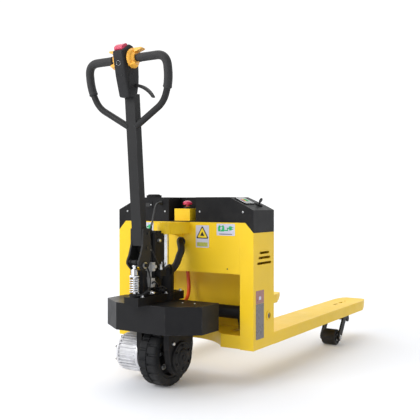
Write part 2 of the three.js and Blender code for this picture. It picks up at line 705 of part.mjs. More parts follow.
node('catch', join(
  box(-34, 2, -246, -240.4, 596, 628),
  box(-34, -24, -253, -245, 604, 630),
  box(-6, 2, -253, -245, 612, 630),
), GREY);

node('tiller_pin', join(
  alongX(PIN_R, -36, 36, PIVOT_Y, PIVOT_Z),
  alongX(12, 31.6, 37, PIVOT_Y, PIVOT_Z),
  alongX(12, -37, -31.6, PIVOT_Y, PIVOT_Z),
), STEEL);

// ---- pump plunger -------------------------------------------------------------------------
node('plunger', turned([
  [0, 360], [6, 360], [6, 455.7], [20, 455.7], [20, 461], [14, 465], [14, 483], [12, 486],
  [7, 487], [7, 494], [9.5, 496], [9.5, 501], [8, 503], [0, 503],
], 0, PLUNGER_Y, 16), CHROME);
const SPRING_Z = [390.4, 455.4];
const SPRING_R = 17.2;
function springGeometry() {
  const turns = 6.5;
  const steps = turns * 8;
  const points = [];
  for (let i = 0; i <= steps; i += 1) {
    const t = i / steps;
    const angle = t * turns * 2 * Math.PI;
    const z = SPRING_Z[0] + 2.5 + t * (SPRING_Z[1] - SPRING_Z[0] - 5);
    const [x, y] = [SPRING_R * Math.cos(angle), SPRING_R * Math.sin(angle)];
    points.push(new THREE.Vector3(x, PLUNGER_Y + y, z));
  }
  return sweep(new THREE.CatmullRomCurve3(points), 2.4, steps, 4);
}
node('plunger_spring', springGeometry(), CHROME);

// ---- tiller -------------------------------------------------------------------------------
// The tube is drawn upright about its own axis through TUBE_FOOT and then leaned forward.
const TUBE_FOOT = { y: -285, z: 575 };
const TUBE_TOP = 1150;
function leaned(geometry) {
  geometry.translate(0, -TUBE_FOOT.y, -TUBE_FOOT.z);
  geometry.rotateX(rad(LEAN));
  geometry.translate(0, TUBE_FOOT.y, TUBE_FOOT.z);
  return geometry;
}
const tubeBox = (halfX, halfY, z0, z1) =>
  box(-halfX, halfX, TUBE_FOOT.y - halfY, TUBE_FOOT.y + halfY, z0, z1);
const TUBE_LENGTH = (TUBE_TOP - TUBE_FOOT.z) / cos(LEAN);
node('tiller_tube', leaned(cut(
  tubeBox(TUBE_X / 2, TUBE_Y / 2, TUBE_FOOT.z, TUBE_FOOT.z + TUBE_LENGTH),
  tubeBox(TUBE_X / 2 - 3, TUBE_Y / 2 - 3, 500, 1300),
)), BLACK);
const ARM_X = [TUBE_X / 2 + GAP + 0.3, 31];
const CAM = { y: -320, z: 513 };
const armOutline = [
  [-304, 640], [-304, 580], [-318, 540], [-331, 516], [-331, 505], [-322, 496], [-306, 481],
  [-292, 481], [-268, 494], [-258, 520], [-254, 560], [-262, 640],
];
const arm = sidePrism(armOutline, ...ARM_X);
node('tiller_base', cut(
  join(
    arm,
    mirrored(arm),
    box(-ARM_X[1] + 1, ARM_X[1] - 1, -267, -260, 545, 640),
    alongX(7, -ARM_X[1] + 1, ARM_X[1] - 1, CAM.y, CAM.z, 20),
  ),
  alongX(PIN_R + GAP, -40, 40, PIVOT_Y, PIVOT_Z),
  leaned(tubeBox(TUBE_X / 2 + GAP, TUBE_Y / 2 + GAP, TUBE_FOOT.z - 1, 700)),
), BLACK);

// ---- handle loop --------------------------------------------------------------------------
const onHandle = (x, z) => new THREE.Vector3(x, HANDLE_Y - (z - HANDLE_Z) * HANDLE_LEAN, z);
// Half of the loop from the tiller to the head, as straight runs joined by round bends.
function halfLoop(side, from, to) {
  const corners = [
    [18, 1028], [156, 1108], [187, 1180], [187, BAR_Z], [0, BAR_Z],
  ].map(([x, z]) => onHandle(side * x, z));
  const bends = [0, 34, 40, 46, 0];
  const path = new THREE.CurvePath();
  let last = corners[0];
  for (let i = 1; i < corners.length; i += 1) {
    const here = corners[i];
    if (i === corners.length - 1) {
      path.add(new THREE.LineCurve3(last, here));
      break;
    }
    const before = here.clone().lerp(corners[i - 1], bends[i] / here.distanceTo(corners[i - 1]));
    const after = here.clone().lerp(corners[i + 1], bends[i] / here.distanceTo(corners[i + 1]));
    path.add(new THREE.LineCurve3(last, before));
    path.add(new THREE.QuadraticBezierCurve3(before, here, after));
    last = after;
  }
  const count = 60;
  const points = Array.from({ length: count + 1 }, (_, i) =>
    path.getPointAt(from + (to - from) * (i / count)));
  return points;
}
const loopPoints = [...halfLoop(1, 0, 1), ...halfLoop(-1, 0, 0.999).reverse()];
const headBore = (radius) => alongX(radius, -60, 60, BAR_Y, BAR_Z, 24);
node('handle_loop', cut(
  sweep(new THREE.CatmullRomCurve3(loopPoints), BAR_R, 52, 8),
  leaned(tubeBox(TUBE_X / 2 + GAP, TUBE_Y / 2 + GAP, 900, 1140)),
), BLACK);
const GRIP_SPAN = [0.42, 0.885];
const gripCurve = new THREE.CatmullRomCurve3(halfLoop(1, ...GRIP_SPAN));
const boreCurve = new THREE.CatmullRomCurve3(
  halfLoop(1, GRIP_SPAN[0] - 0.02, GRIP_SPAN[1] + 0.02));
pair('grip', cut(
  sweep(gripCurve, GRIP_R, 12, 10),
  sweep(boreCurve, BAR_R + 1.5, 14, 10),
), RUBBER);

// ---- head ---------------------------------------------------------------------------------
const HEAD_X = 25.5;
const headOutline = [
  [HEAD_FRONT_Y, 1300], [-401, 1207], [-379, 1134], [-342, 1134], [-326, 1150], [-317, 1215],
  [-319, 1255], [-330, 1290], [-347, 1322], [-356, 1329], [-374, 1331],
];
const NOSE = { y: HEAD_FRONT_Y, z: 1300 };
const CREST = { y: -374, z: 1331 };
const FACE_TILT = Math.atan2(CREST.z - NOSE.z, CREST.y - NOSE.y);
// Places a piece drawn about the origin, z outward, on the sloping top of the head.
function onCrest(geometry) {
  geometry.rotateX(FACE_TILT);
  geometry.translate(0, (NOSE.y + CREST.y) / 2, (NOSE.z + CREST.z) / 2);
  return geometry;
}
const HORN = { y: -411, z: 1256, tilt: 90 + 11 };
function onFront(geometry) {
  geometry.rotateX(rad(HORN.tilt));
  geometry.translate(0, HORN.y, HORN.z);
  return geometry;
}
const LEVER_PIVOT = { x: 22, y: -338, z: 1180 };
node('head_housing', cut(
  sidePrism(headOutline, -HEAD_X, HEAD_X),
  headBore(BAR_R + 0.5),
  onCrest(box(-19, 19, -20, 20, -10, 20)),
  onFront(alongZ(8.4, -8, 20, 0, 0, 20)),
  leaned(tubeBox(TUBE_X / 2 + GAP, TUBE_Y / 2 + GAP, 900, TUBE_FOOT.z + TUBE_LENGTH + 1)),
  box(10, 40, -354, -322, 1172, 1188),
), SOFT_BLACK);
const bellyOutline = [
  [-18.6, -2], [18.6, -2], [18.6, 4], [14, 9], [5, 11], [-5, 11], [-14, 9], [-18.6, 4],
];
const bellyShape = extruded(bellyOutline, 37);
bellyShape.applyMatrix4(new THREE.Matrix4().set(
  0, 0, 1, -18.5, 1, 0, 0, 0, 0, 1, 0, 0, 0, 0, 0, 1));
node('belly_button', onCrest(bellyShape), RED);
const hornProfile = new THREE.LatheGeometry([
  [0, -5], [7.8, -5], [7.8, 2], [6, 3], [0, 3],
].map(([r, z]) => new THREE.Vector2(r, z)), 24);
hornProfile.rotateX(Math.PI / 2);
node('horn_button', onFront(hornProfile), GREY);

// Butterfly throttle: a disc round the bar with a wing above it for the thumb and a lip below.
const THROTTLE_IN = HEAD_X + 1.2;
function paddle(angle, tipX, tipR) {
  const wing = frontPrism([
    [THROTTLE_IN + 2, 20], [44, 20], [tipX - 2, tipR - 6], [tipX, tipR - 2], [tipX - 4, tipR],
    [42, 36], [THROTTLE_IN + 2, 36],
  ], -11, 11);
  wing.rotateX(rad(angle));
  wing.translate(0, BAR_Y, BAR_Z);
  return wing;
}
pair('throttle', cut(
  join(
    turnedAlongX([
      [0, THROTTLE_IN], [THROTTLE_R - 4, THROTTLE_IN], [THROTTLE_R, 31], [THROTTLE_R, 35],
      [THROTTLE_R - 5, 40], [24, 43], [18, 50], [0, 50],
    ], BAR_Y, BAR_Z, 20),
    paddle(-6, 79, 36),
    paddle(156, 60, 33),
  ),
  alongX(BAR_R + 0.5, 10, 90, BAR_Y, BAR_Z, 24),
), ORANGE);

const leverShape = new THREE.Shape();
leverShape.moveTo(LEVER_PIVOT.x - 6, 1175.5);
leverShape.lineTo(34, 1174);
leverShape.quadraticCurveTo(80, 1160, 104, 1128);
leverShape.lineTo(109, 1131);
leverShape.quadraticCurveTo(86, 1172, 40, 1184);
leverShape.lineTo(LEVER_PIVOT.x - 6, 1184.5);
node('hand_lever', frontPrism(leverShape, -346, -330), BLACK);

// ---- cables -------------------------------------------------------------------------------
node('conduit', tube([
  [-6, 24, 575], [-6, 6, 575], [-2, -10, 572], [12, -26, 560], [22, -38, 542], [20, -50, 518],
  [13, -60, 487], [4, -73, 467], [2, -83, 463.6],
], 15, 16, 10), RUBBER);
node('signal_cable', tube([
  [-109, -GAP, 738], [-109, -14, 739], [-100, -50, 728], [-78, -95, 690], [-52, -140, 656],
  [-28, -176, 652], [-13, -197, 645], [-10, -202, 636],
  [-10, -202, 628 + GAP],
], 4, 22, 8), RUBBER);
node('motor_cable', tube([
  [-62, 132, 600], [-62, 132, 470], [-62, 132, 440], [-58, 132, 400], [-50, 124, 362],
  [-40, 98, 328], [-32, 60, 312], [-27, 10, 310], [-25, -25, 314], [-25, -52.3, 315],
], 8, 22, 8), CABLE_ORANGE);

export default group;
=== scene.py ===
"""Electric pallet truck: materials, fine detail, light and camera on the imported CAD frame."""

import json
import math

import bmesh
import bpy
from mathutils import Matrix, Vector


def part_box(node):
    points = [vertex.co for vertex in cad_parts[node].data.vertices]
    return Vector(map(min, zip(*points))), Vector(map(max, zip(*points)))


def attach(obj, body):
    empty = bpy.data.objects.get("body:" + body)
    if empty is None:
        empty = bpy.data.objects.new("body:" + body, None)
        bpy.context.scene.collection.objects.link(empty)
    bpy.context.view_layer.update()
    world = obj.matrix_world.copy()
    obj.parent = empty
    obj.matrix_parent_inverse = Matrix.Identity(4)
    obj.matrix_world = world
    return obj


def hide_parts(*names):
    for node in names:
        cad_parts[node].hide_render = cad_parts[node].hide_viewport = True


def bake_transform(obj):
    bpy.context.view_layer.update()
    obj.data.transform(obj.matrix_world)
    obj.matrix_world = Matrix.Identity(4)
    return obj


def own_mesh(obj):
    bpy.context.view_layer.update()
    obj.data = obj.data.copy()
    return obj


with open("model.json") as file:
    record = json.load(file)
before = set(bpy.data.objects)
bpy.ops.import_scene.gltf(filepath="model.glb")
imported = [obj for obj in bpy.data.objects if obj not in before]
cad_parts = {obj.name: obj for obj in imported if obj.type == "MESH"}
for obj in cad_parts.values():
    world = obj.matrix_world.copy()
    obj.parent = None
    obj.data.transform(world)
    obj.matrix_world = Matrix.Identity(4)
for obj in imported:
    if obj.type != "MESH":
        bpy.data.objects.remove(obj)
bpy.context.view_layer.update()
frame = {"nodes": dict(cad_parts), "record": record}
NODES = frame["nodes"]

# ---- places taken from the frame ----
MM = 0.001
UP = (0, 0, 1)
RIGHT, LEFT = (1, 0, 0), (-1, 0, 0)
FORWARD, BACK = (0, -1, 0), (0, 1, 0)


def low(node):
    return Vector(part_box(node)[0])


def high(node):
    return Vector(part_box(node)[1])


def middle(node):
    return (low(node) + high(node)) / 2


FRONT = low("front_panel").y  # front face of the chassis
AXLE = middle("drive_tyre")
STEER = Vector((0, AXLE.y, 0))  # the steering axis, which the lift cylinder shares
PLUNGER = middle("plunger")


def at(x, y, z):
    """Metres from millimetres: x from the middle, y from the front face, z from the floor."""
    return Vector((x * MM, FRONT + y * MM, z * MM))


# ---- materials ----
class Graph:
    """A small wrapper that adds nodes to a material and links them."""

    def __init__(self, name):
        self.material = bpy.data.materials.new(name)
        self.material.use_nodes = True
        self.tree = self.material.node_tree
        self.shader = self.tree.nodes["Principled BSDF"]
        self.place = self.tree.nodes.new("ShaderNodeTexCoord").outputs["Object"]

    def add(self, kind, inputs=None, **settings):
        made = self.tree.nodes.new(kind)
        for key, value in settings.items():
            setattr(made, key, value)
        for key, value in (inputs or {}).items():
            if isinstance(value, bpy.types.NodeSocket):
                self.tree.links.new(value, made.inputs[key])
            else:
                made.inputs[key].default_value = value
        return made

    def noise(self, scale, detail=4.0, roughness=0.55, stretch=None):
        place = self.place
        if stretch:
            place = self.add("ShaderNodeMapping", {"Vector": place, "Scale": stretch}).outputs[0]
        inputs = {"Vector": place, "Scale": scale, "Detail": detail, "Roughness": roughness}
        return self.add("ShaderNodeTexNoise", inputs).outputs["Fac"]

    def ramp(self, value, low_in, high_in, low_out=0.0, high_out=1.0):
        inputs = {"Value": value, "From Min": low_in, "From Max": high_in,
                  "To Min": low_out, "To Max": high_out}
        return self.add("ShaderNodeMapRange", inputs).outputs["Result"]

    def math(self, operation, a, b):
        return self.add("ShaderNodeMath", {0: a, 1: b}, operation=operation).outputs[0]

    def mix(self, share, first, second):
        made = self.add("ShaderNodeMix", data_type="RGBA")
        for key, value in (("Factor", share), ("A", first), ("B", second)):
            socket = next(s for s in made.inputs if s.name == key and s.enabled)
            if isinstance(value, bpy.types.NodeSocket):
                self.tree.links.new(value, socket)
            else:
                socket.default_value = value
        return next(s for s in made.outputs if s.enabled)

    def bump(self, height, strength, distance=0.001, base=None):
        inputs = {"Height": height, "Strength": strength, "Distance": distance}
        if base is not None:
            inputs["Normal"] = base
        return self.add("ShaderNodeBump", inputs).outputs["Normal"]

    def to(self, key, value):
        if isinstance(value, bpy.types.NodeSocket):
            self.tree.links.new(value, self.shader.inputs[key])
        else:
            self.shader.inputs[key].default_value = value


def colour(red, green, blue):
    return (red, green, blue, 1.0)


def blended(base, other, share):
    return tuple(a + (b - a) * share for a, b in zip(base, other))


def lighter(base, factor):
    return tuple(min(c * factor, 1.0) for c in base[:3]) + (1.0,)


DUST = colour(0.42, 0.39, 0.34)
BARE_OR_HIGHLIGHT = colour(0.55, 0.55, 0.56)
BLACKISH = colour(0.01, 0.01, 0.01)
WORN_AND_LIT_WIDTH = 2.2 * MM  # how far the rubbed paint and the painted edge highlight reach from an edge


def surface(name, base, rough, *, metal=0.0, grain=0.15, grain_scale=700.0, patch=0.16,
            patch_scale=7.0, dust=0.0, dust_top=0.25, wear_and_highlight=0.0, bare_or_highlight=BARE_OR_HIGHLIGHT, coat=0.0, sheen=0.0,
            specular=0.5):
    """Paint, plastic, rubber or metal with patches, grain, dust near the floor, and paler edges
    that are partly rubbed paint and partly a painted highlight.
    """
    g = Graph(name)
    patches = g.noise(patch_scale, 5.0)
    specks = g.noise(grain_scale, 2.0)
    shade = g.ramp(patches, 0.3, 0.7, 0.0, 1.0)
    mixed = g.mix(shade, blended(base, BLACKISH, patch), lighter(base, 1 + 0.5 * patch))
    if dust:
        height = g.add("ShaderNodeSeparateXYZ", {0: g.place}).outputs["Z"]
        fall = g.ramp(height, 0.0, dust_top, 1.0, 0.12)
        cloud = g.ramp(g.noise(18.0, 6.0, 0.65), 0.38, 0.72)
        mixed = g.mix(g.math("MULTIPLY", g.math("MULTIPLY", fall, cloud), dust * 4), mixed, DUST)
    # Paler colour on the edges: partly rubbed paint, partly a painted edge highlight.
    if wear_and_highlight:
        soft = g.add("ShaderNodeBevel", {"Radius": WORN_AND_LIT_WIDTH}, samples=4).outputs[0]
        true = g.add("ShaderNodeNewGeometry").outputs["True Normal"]
        edge = g.add("ShaderNodeVectorMath", {0: soft, 1: true}, operation="DOT_PRODUCT")
        turned = g.ramp(edge.outputs["Value"], 0.97, 0.86)
        edge_breakup = g.ramp(g.noise(34.0, 6.0), 0.48, 0.62)
        worn_or_lit = g.math("MULTIPLY", turned, edge_breakup)
        mixed = g.mix(g.math("MULTIPLY", worn_or_lit, wear_and_highlight), mixed, bare_or_highlight)
    g.to("Base Color", mixed)
    smudge = g.ramp(g.noise(11.0, 6.0, 0.7), 0.3, 0.75, rough - 0.07, rough + 0.1)
    g.to("Roughness", smudge)
    g.to("Metallic", metal)
    g.to("Specular IOR Level", specular)
    g.to("Coat Weight", coat)
    g.to("Coat Roughness", 0.18)
    g.to("Sheen Weight", sheen)
    g.to("Normal", g.bump(specks, grain, 0.0004))
    return g.material


def machined(name, base, rough, stretch, scratch=0.25):
    """Bare metal with fine tool marks along one direction."""
    g = Graph(name)
    marks = g.noise(160.0, 3.0, 0.6, stretch)
    stains = g.ramp(g.noise(22.0, 5.0), 0.35, 0.7)
    g.to("Base Color", g.mix(stains, base, blended(base, BLACKISH, 0.22)))
    g.to("Roughness", g.ramp(marks, 0.3, 0.7, rough - 0.06, rough + 0.14))
    g.to("Metallic", 1.0)
    g.to("Normal", g.bump(marks, scratch, 0.0002))
    return g.material


YELLOW = surface("yellow paint", colour(0.86, 0.565, 0.012), 0.42, grain=0.12, grain_scale=420.0,
                 patch=0.07, patch_scale=4.0, dust=0.02, dust_top=0.35, wear_and_highlight=0.4,
                 bare_or_highlight=colour(0.93, 0.72, 0.2), coat=0.05, specular=0.3)
BLACK = surface("black paint", colour(0.0075, 0.0075, 0.0085), 0.5, grain=0.22, grain_scale=900.0,
                patch=0.2, dust=0.02, wear_and_highlight=0.3, bare_or_highlight=colour(0.12, 0.12, 0.125), specular=0.15)
TILLER_BLACK = surface("tiller paint", colour(0.018, 0.018, 0.0185), 0.5, grain=0.25,
                       grain_scale=850.0, patch=0.15, wear_and_highlight=0.3,
                       bare_or_highlight=colour(0.14, 0.14, 0.145), specular=0.22)
GUARD_BLACK = surface("guard paint", colour(0.0085, 0.0085, 0.0098), 0.46, grain=0.14,
                      grain_scale=600.0, patch=0.14, dust=0.015, wear_and_highlight=0.6,
                      bare_or_highlight=colour(0.16, 0.16, 0.165), coat=0.04, specular=0.15)
PLASTIC = surface("black plastic", colour(0.007, 0.007, 0.008), 0.46, grain=0.35,
                  grain_scale=1100.0, patch=0.12, dust=0.015, dust_top=0.8, specular=0.16)
HEAD_PLASTIC = surface("head plastic", colour(0.019, 0.019, 0.02), 0.55, grain=0.4,
                       grain_scale=1200.0, patch=0.1, specular=0.2)
GRIP = surface("grip rubber", colour(0.026, 0.026, 0.027), 0.62, grain=0.6, grain_scale=900.0,
               patch=0.18, sheen=0.1, specular=0.25)
TYRE = surface("tyre rubber", colour(0.009, 0.0095, 0.011), 0.66, grain=0.5, grain_scale=500.0,
               patch=0.25, patch_scale=16.0, dust=0.025, dust_top=0.12, specular=0.25)
CABLE = surface("black hose", colour(0.009, 0.009, 0.0095), 0.42, grain=0.2, specular=0.35)
CABLE_ORANGE = surface("orange cable", colour(0.75, 0.09, 0.02), 0.42, patch=0.12,
                       patch_scale=30.0)
RED = surface("red button", colour(0.56, 0.014, 0.075), 0.34, grain=0.08, patch=0.12,
              patch_scale=40.0, coat=0.2)
ORANGE = surface("orange plastic", colour(0.86, 0.43, 0.05), 0.42, grain=0.2,
                 grain_scale=900.0, patch=0.12, patch_scale=30.0, coat=0.1)
GREY_CAST = surface("grey casting", colour(0.46, 0.46, 0.45), 0.5, metal=0.35, grain=0.6,
                    grain_scale=520.0, patch=0.35, patch_scale=28.0, dust=0.02, wear_and_highlight=0.3)
MOTOR_WHITE = surface("motor casting", colour(0.74, 0.74, 0.76), 0.38, metal=0.25, grain=0.5,
                      grain_scale=480.0, patch=0.2, patch_scale=25.0, dust=0.03, dust_top=0.1)
BATTERY = surface("battery case", colour(0.05, 0.055, 0.065), 0.55, grain=0.3, dust=0.02)
POLYURETHANE = surface("roller tread", colour(0.012, 0.012, 0.013), 0.5, grain=0.3,
                       grain_scale=600.0, patch=0.25, patch_scale=30.0, dust=0.02, dust_top=0.08,
                       specular=0.3)
LABEL_PALE = surface("label film", colour(0.56, 0.56, 0.66), 0.35, grain=0.05, patch=0.06,
                     patch_scale=25.0, coat=0.4)
LABEL_GREEN = surface("green ink", colour(0.008, 0.42, 0.12), 0.4, grain=0.05, patch=0.1,
                      patch_scale=40.0)
LABEL_YELLOW = surface("yellow ink", colour(0.82, 0.6, 0.02), 0.4, grain=0.05, patch=0.08,
                       patch_scale=40.0)
LABEL_OLIVE = surface("olive ink", colour(0.42, 0.45, 0.08), 0.45, grain=0.05, patch=0.3,
                      patch_scale=90.0)
LABEL_BROWN = surface("brown window", colour(0.30, 0.085, 0.07), 0.3, grain=0.05, patch=0.2,
                      patch_scale=22.0, dust=0.03, coat=0.5)
LABEL_DARK = surface("dark window", colour(0.085, 0.066, 0.068), 0.28, grain=0.05, patch=0.2,
                     patch_scale=22.0, dust=0.03, coat=0.5)
INK = surface("black ink", colour(0.01, 0.01, 0.01), 0.4, grain=0.05)
LENS = surface("display glass", colour(0.02, 0.03, 0.035), 0.12, grain=0.02, coat=0.8)
CHROME = machined("chrome", colour(0.78, 0.79, 0.81), 0.14, (1.0, 1.0, 12.0), 0.08)
STEEL = machined("machined steel", colour(0.42, 0.42, 0.43), 0.34, (1.0, 14.0, 14.0))
ZINC = machined("zinc plate", colour(0.68, 0.69, 0.70), 0.28, (6.0, 6.0, 6.0), 0.15)

PAINT_OF_SLOT = {
    "yellow_paint": YELLOW,
    "black_paint": BLACK,
    "black_plastic": PLASTIC,
    "rubber": TYRE,
    "chrome": CHROME,
    "steel": STEEL,
    "aluminium": MOTOR_WHITE,
    "red_plastic": RED,
    "orange_plastic": ORANGE,
    "cable_orange": CABLE_ORANGE,
    "grey_cast": GREY_CAST,
    "battery_case": BATTERY,
    "polyurethane": POLYURETHANE,
}
PAINT_OF_NODE = {
    "guard": GUARD_BLACK,
    "tiller_tube": TILLER_BLACK,
    "tiller_base": TILLER_BLACK,
    "head_housing": HEAD_PLASTIC,
    "hand_lever": TILLER_BLACK,
    "horn_button": HEAD_PLASTIC,
    "key": PLASTIC,
}

# ---- rounding of the CAD pieces ----
PLAIN_EDGE_RADIUS = 0.6
EDGE_RADIUS = {  # millimetres, the same on the right and on the left
    "fork": 3.0, "side_box": 2.2, "base_plate": 2.0, "front_panel": 1.8, "back_plate": 0.8,
    "battery_tray": 0.8, "top_cover": 3.5, "estop_box": 4.0, "ram_bracket": 7.0, "guard": 2.0,
    "tiller_tube": 4.5, "tiller_base": 1.6, "pump_body": 2.2, "valve_block": 3.0, "fittings": 2.0,
    "catch": 2.0, "wheel_fork": 3.0, "rocker_arm": 2.2, "load_frame": 1.4, "push_rod": 1.2,
    "battery_meter": 1.5, "charging_socket": 3.0, "hand_lever": 3.5, "belly_button": 3.0,
    "throttle": 2.0, "battery": 4.0,
}


def shade(mesh, smooth):
    for face in mesh.polygons:
        face.use_smooth = smooth


def round_edges(obj, radius, segments, angle, harden=True):
    """Rounds every edge that turns by more than the angle. Radius in millimetres."""
    modifier = obj.modifiers.new("round edges", "BEVEL")
    modifier.width = radius * MM
    modifier.segments = segments
    modifier.limit_method = "ANGLE"
    modifier.angle_limit = math.radians(angle)
    modifier.harden_normals = harden


def dress_nodes():
    """Gives each CAD node its material and rounds its sharp edges."""
    slot_of = {s["node"]: s["material_slot"] for s in frame["record"]["subparts"]}
    for name, obj in NODES.items():
        obj.data.materials.clear()
        obj.data.materials.append(PAINT_OF_NODE.get(name, PAINT_OF_SLOT[slot_of[name]]))
        shade(obj.data, True)
        kind = name.removesuffix("_right").removesuffix("_left")
        radius = EDGE_RADIUS.get(kind, PLAIN_EDGE_RADIUS)
        round_edges(obj, radius, 3 if radius > 1 else 2, 38)


# ---- mesh helpers ----
def piece(name, mesh, paint, body):
    obj = bpy.data.objects.new(name, mesh)
    bpy.context.scene.collection.objects.link(obj)
    mesh.materials.append(paint)
    shade(mesh, True)
    if body:
        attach(obj, body)
    return obj


def mesh_of(name, points, faces):
    mesh = bpy.data.meshes.new(name)
    mesh.from_pydata([tuple(p) for p in points], [], faces)
    mesh.update()
    return mesh


def face_outward(mesh, merge=False):
    """Turns every face outward; merge first joins points that lie on each other."""
    work = bmesh.new()
    work.from_mesh(mesh)
    if merge:
        bmesh.ops.remove_doubles(work, verts=work.verts, dist=1e-7)
    bmesh.ops.recalc_face_normals(work, faces=work.faces)
    work.to_mesh(mesh)
    work.free()
    return mesh


def turning(axis):
    """Rotation that takes +Z to the axis."""
    return Vector(UP).rotation_difference(Vector(axis).normalized()).to_matrix()


def revolve(name, profile, centre, axis, paint, body, segments=64):
    """Turns a profile of (radius, distance along the axis), in millimetres, about the axis."""
    points, faces = [], []
    turn = turning(axis)
    for radius, along in profile:
        for i in range(segments):
            angle = 2 * math.pi * i / segments
            local = Vector((radius * math.cos(angle), radius * math.sin(angle), along)) * MM
            points.append(Vector(centre) + turn @ local)
    for j in range(len(profile) - 1):
        for i in range(segments):
            k = (i + 1) % segments
            a, b = j * segments, (j + 1) * segments
            faces.append((a + i, a + k, b + k, b + i))
    mesh = face_outward(mesh_of(name, points, faces), merge=True)
    obj = piece(name, mesh, paint, body)
    round_edges(obj, 0.4, 2, 35)
    return obj


def block(name, size, centre, paint, body, radius, turn=None):
    """A box with round edges. Size and radius in millimetres, centre in metres."""
    work = bmesh.new()
    bmesh.ops.create_cube(work, size=1.0)
    bmesh.ops.scale(work, vec=Vector(size) * MM, verts=work.verts)
    bmesh.ops.bevel(work, geom=work.edges[:], offset=radius * MM, segments=3, profile=0.5,
                    affect="EDGES")
    if turn is not None:
        bmesh.ops.rotate(work, matrix=turn, verts=work.verts)
    bmesh.ops.translate(work, vec=Vector(centre), verts=work.verts)
    mesh = bpy.data.meshes.new(name)
    work.to_mesh(mesh)
    work.free()
    piece(name, mesh, paint, body)


def plate(name, outline, thickness, origin, across, up, paint, body):
    """A thin flat shape. The outline is in millimetres along across and up from origin."""
    across, up = Vector(across), Vector(up)
    outward = across.cross(up).normalized()
    front = [Vector(origin) + (across * u + up * v) * MM + outward * thickness * MM
             for u, v in outline]
    back = [p - outward * thickness * MM for p in front]
    count = len(outline)
    faces = [tuple(range(count)), tuple(reversed(range(count, 2 * count)))]
    faces += [(i, i + count, (i + 1) % count + count, (i + 1) % count) for i in range(count)]
    obj = piece(name, mesh_of(name, front + back, faces), paint, body)
    shade(obj.data, False)


def rounded(width, height, radius, steps=6):
    """Outline of a rectangle with round corners, centred on the origin."""
    outline = []
    corners = ((1, 1, 0), (-1, 1, 90), (-1, -1, 180), (1, -1, 270))
    for sx, sy, start in corners:
        for i in range(steps + 1):
            angle = math.radians(start + 90 * i / steps)
            outline.append((sx * (width / 2 - radius) + radius * math.cos(angle),
                            sy * (height / 2 - radius) + radius * math.sin(angle)))
    return outline


def pipe_mesh(name, route, radius, sides, ripple=None):
    """A tube along a list of points in metres, radius in millimetres; ripple varies the radius."""
    points, faces = [], []
    normal = Vector(UP)
    for i, centre in enumerate(route):
        ahead = route[min(i + 1, len(route) - 1)] - route[max(i - 1, 0)]
        ahead.normalize()
        if abs(ahead.dot(normal)) > 0.99:
            normal = Vector((1, 0, 0)) if abs(ahead.x) < 0.9 else Vector((0, 1, 0))
        normal = (normal - ahead * ahead.dot(normal)).normalized()
        side = ahead.cross(normal)
        here = radius * (ripple(i) if ripple else 1.0) * MM
        for k in range(sides):
            angle = 2 * math.pi * k / sides
            points.append(centre + normal * math.cos(angle) * here + side * math.sin(angle) * here)
    for i in range(len(route) - 1):
        for k in range(sides):
            n = (k + 1) % sides
            a, b = i * sides, (i + 1) * sides
            faces.append((a + k, a + n, b + n, b + k))
    faces.append(tuple(reversed(range(sides))))
    faces.append(tuple(range(len(points) - sides, len(points))))
    return face_outward(mesh_of(name, points, faces))


CURVE_STEPS = 24


def spline(points, steps):
    """Smooth curve through the points, as a list of steps + 1 evenly spaced places."""
    dense = []
    for i in range(len(points) - 1):
        p0, p1, p2 = points[max(i - 1, 0)], points[i], points[i + 1]
        p3 = points[min(i + 2, len(points) - 1)]
        for j in range(CURVE_STEPS):
            t = j / CURVE_STEPS
            dense.append(0.5 * ((2 * p1) + (p2 - p0) * t + (2 * p0 - 5 * p1 + 4 * p2 - p3) * t * t
                                + (3 * p1 - p0 - 3 * p2 + p3) * t ** 3))
    dense.append(points[-1].copy())
    return evenly(dense, steps)


def evenly(dense, steps):
    """The same line with its points an equal distance apart."""
    run = [0.0]
    for a, b in zip(dense, dense[1:]):
        run.append(run[-1] + (b - a).length)
    even, k = [], 0
    for i in range(steps + 1):
        goal = run[-1] * i / steps
        while k < len(run) - 2 and run[k + 1] < goal:
            k += 1
        span = max(run[k + 1] - run[k], 1e-9)
        even.append(dense[k].lerp(dense[k + 1], (goal - run[k]) / span))
    return even


def around_x(centre, radius, count, offset=0.5):
    """Evenly spaced places on a circle about a line along X. Radius in millimetres."""
    for i in range(count):
        angle = 2 * math.pi * (i + offset) / count
        yield centre + Vector((0, math.cos(angle), math.sin(angle))) * radius * MM


def hexagon_bolt(name, centre, axis, across, height, paint, body, washer=True):
    """Hexagon head on a washer, sitting on the surface at centre. Sizes in millimetres."""
    profile = [(0, height), (across * 0.42, height), (across * 0.5, height - 0.6),
               (across * 0.5, 0), (0, 0)]
    head = revolve(name, profile, centre, axis, paint, body, segments=6)
    shade(head.data, False)
    if washer:
        revolve(f"{name}.washer", [(0, 0.9), (across * 0.72, 0.9), (across * 0.72, -0.3),
                                   (0, -0.3)], centre, axis, ZINC, body, segments=24)


def screw(name, centre, axis, radius, paint, body):
    """Round head with a socket in it. Radius in millimetres."""
    r = radius
    revolve(name, [(0, 0.25 * r), (0.38 * r, 0.25 * r), (0.42 * r, 0.62 * r), (0.8 * r, 0.5 * r),
                   (r, 0.15 * r), (r, -0.1 * r), (0, -0.1 * r)],
            centre, axis, paint, body, segments=20)


dress_nodes()

# ---- drive wheel ----
TREAD_BLOCKS = 20
BLOCK_STEPS = 24
GROOVE_DEPTH = 5.0
GROOVE_HALF, GROOVE_SLOPE = 0.135, 0.03  # shares of a block
RIB_HALF, TREAD_HALF = 5, 41.8  # the grooves lie between these distances from the middle
TREAD_FOOT = 111  # radius below which the side walls are plain
TYRE_SECTION = [  # distance from the middle of the tyre, radius
    (-40, 93), (-42, 100), (-42, 112), (-41.6, 117), (-39, 122), (-34, 124.7), (-30, 125),
    (-12, 125), (-5, 125), (-3.2, 125), (-2.6, 121.5), (2.6, 121.5), (3.2, 125), (5, 125),
    (12, 125), (30, 125), (34, 124.7), (39, 122), (41.6, 117), (42, 112), (42, 100), (40, 93),
]


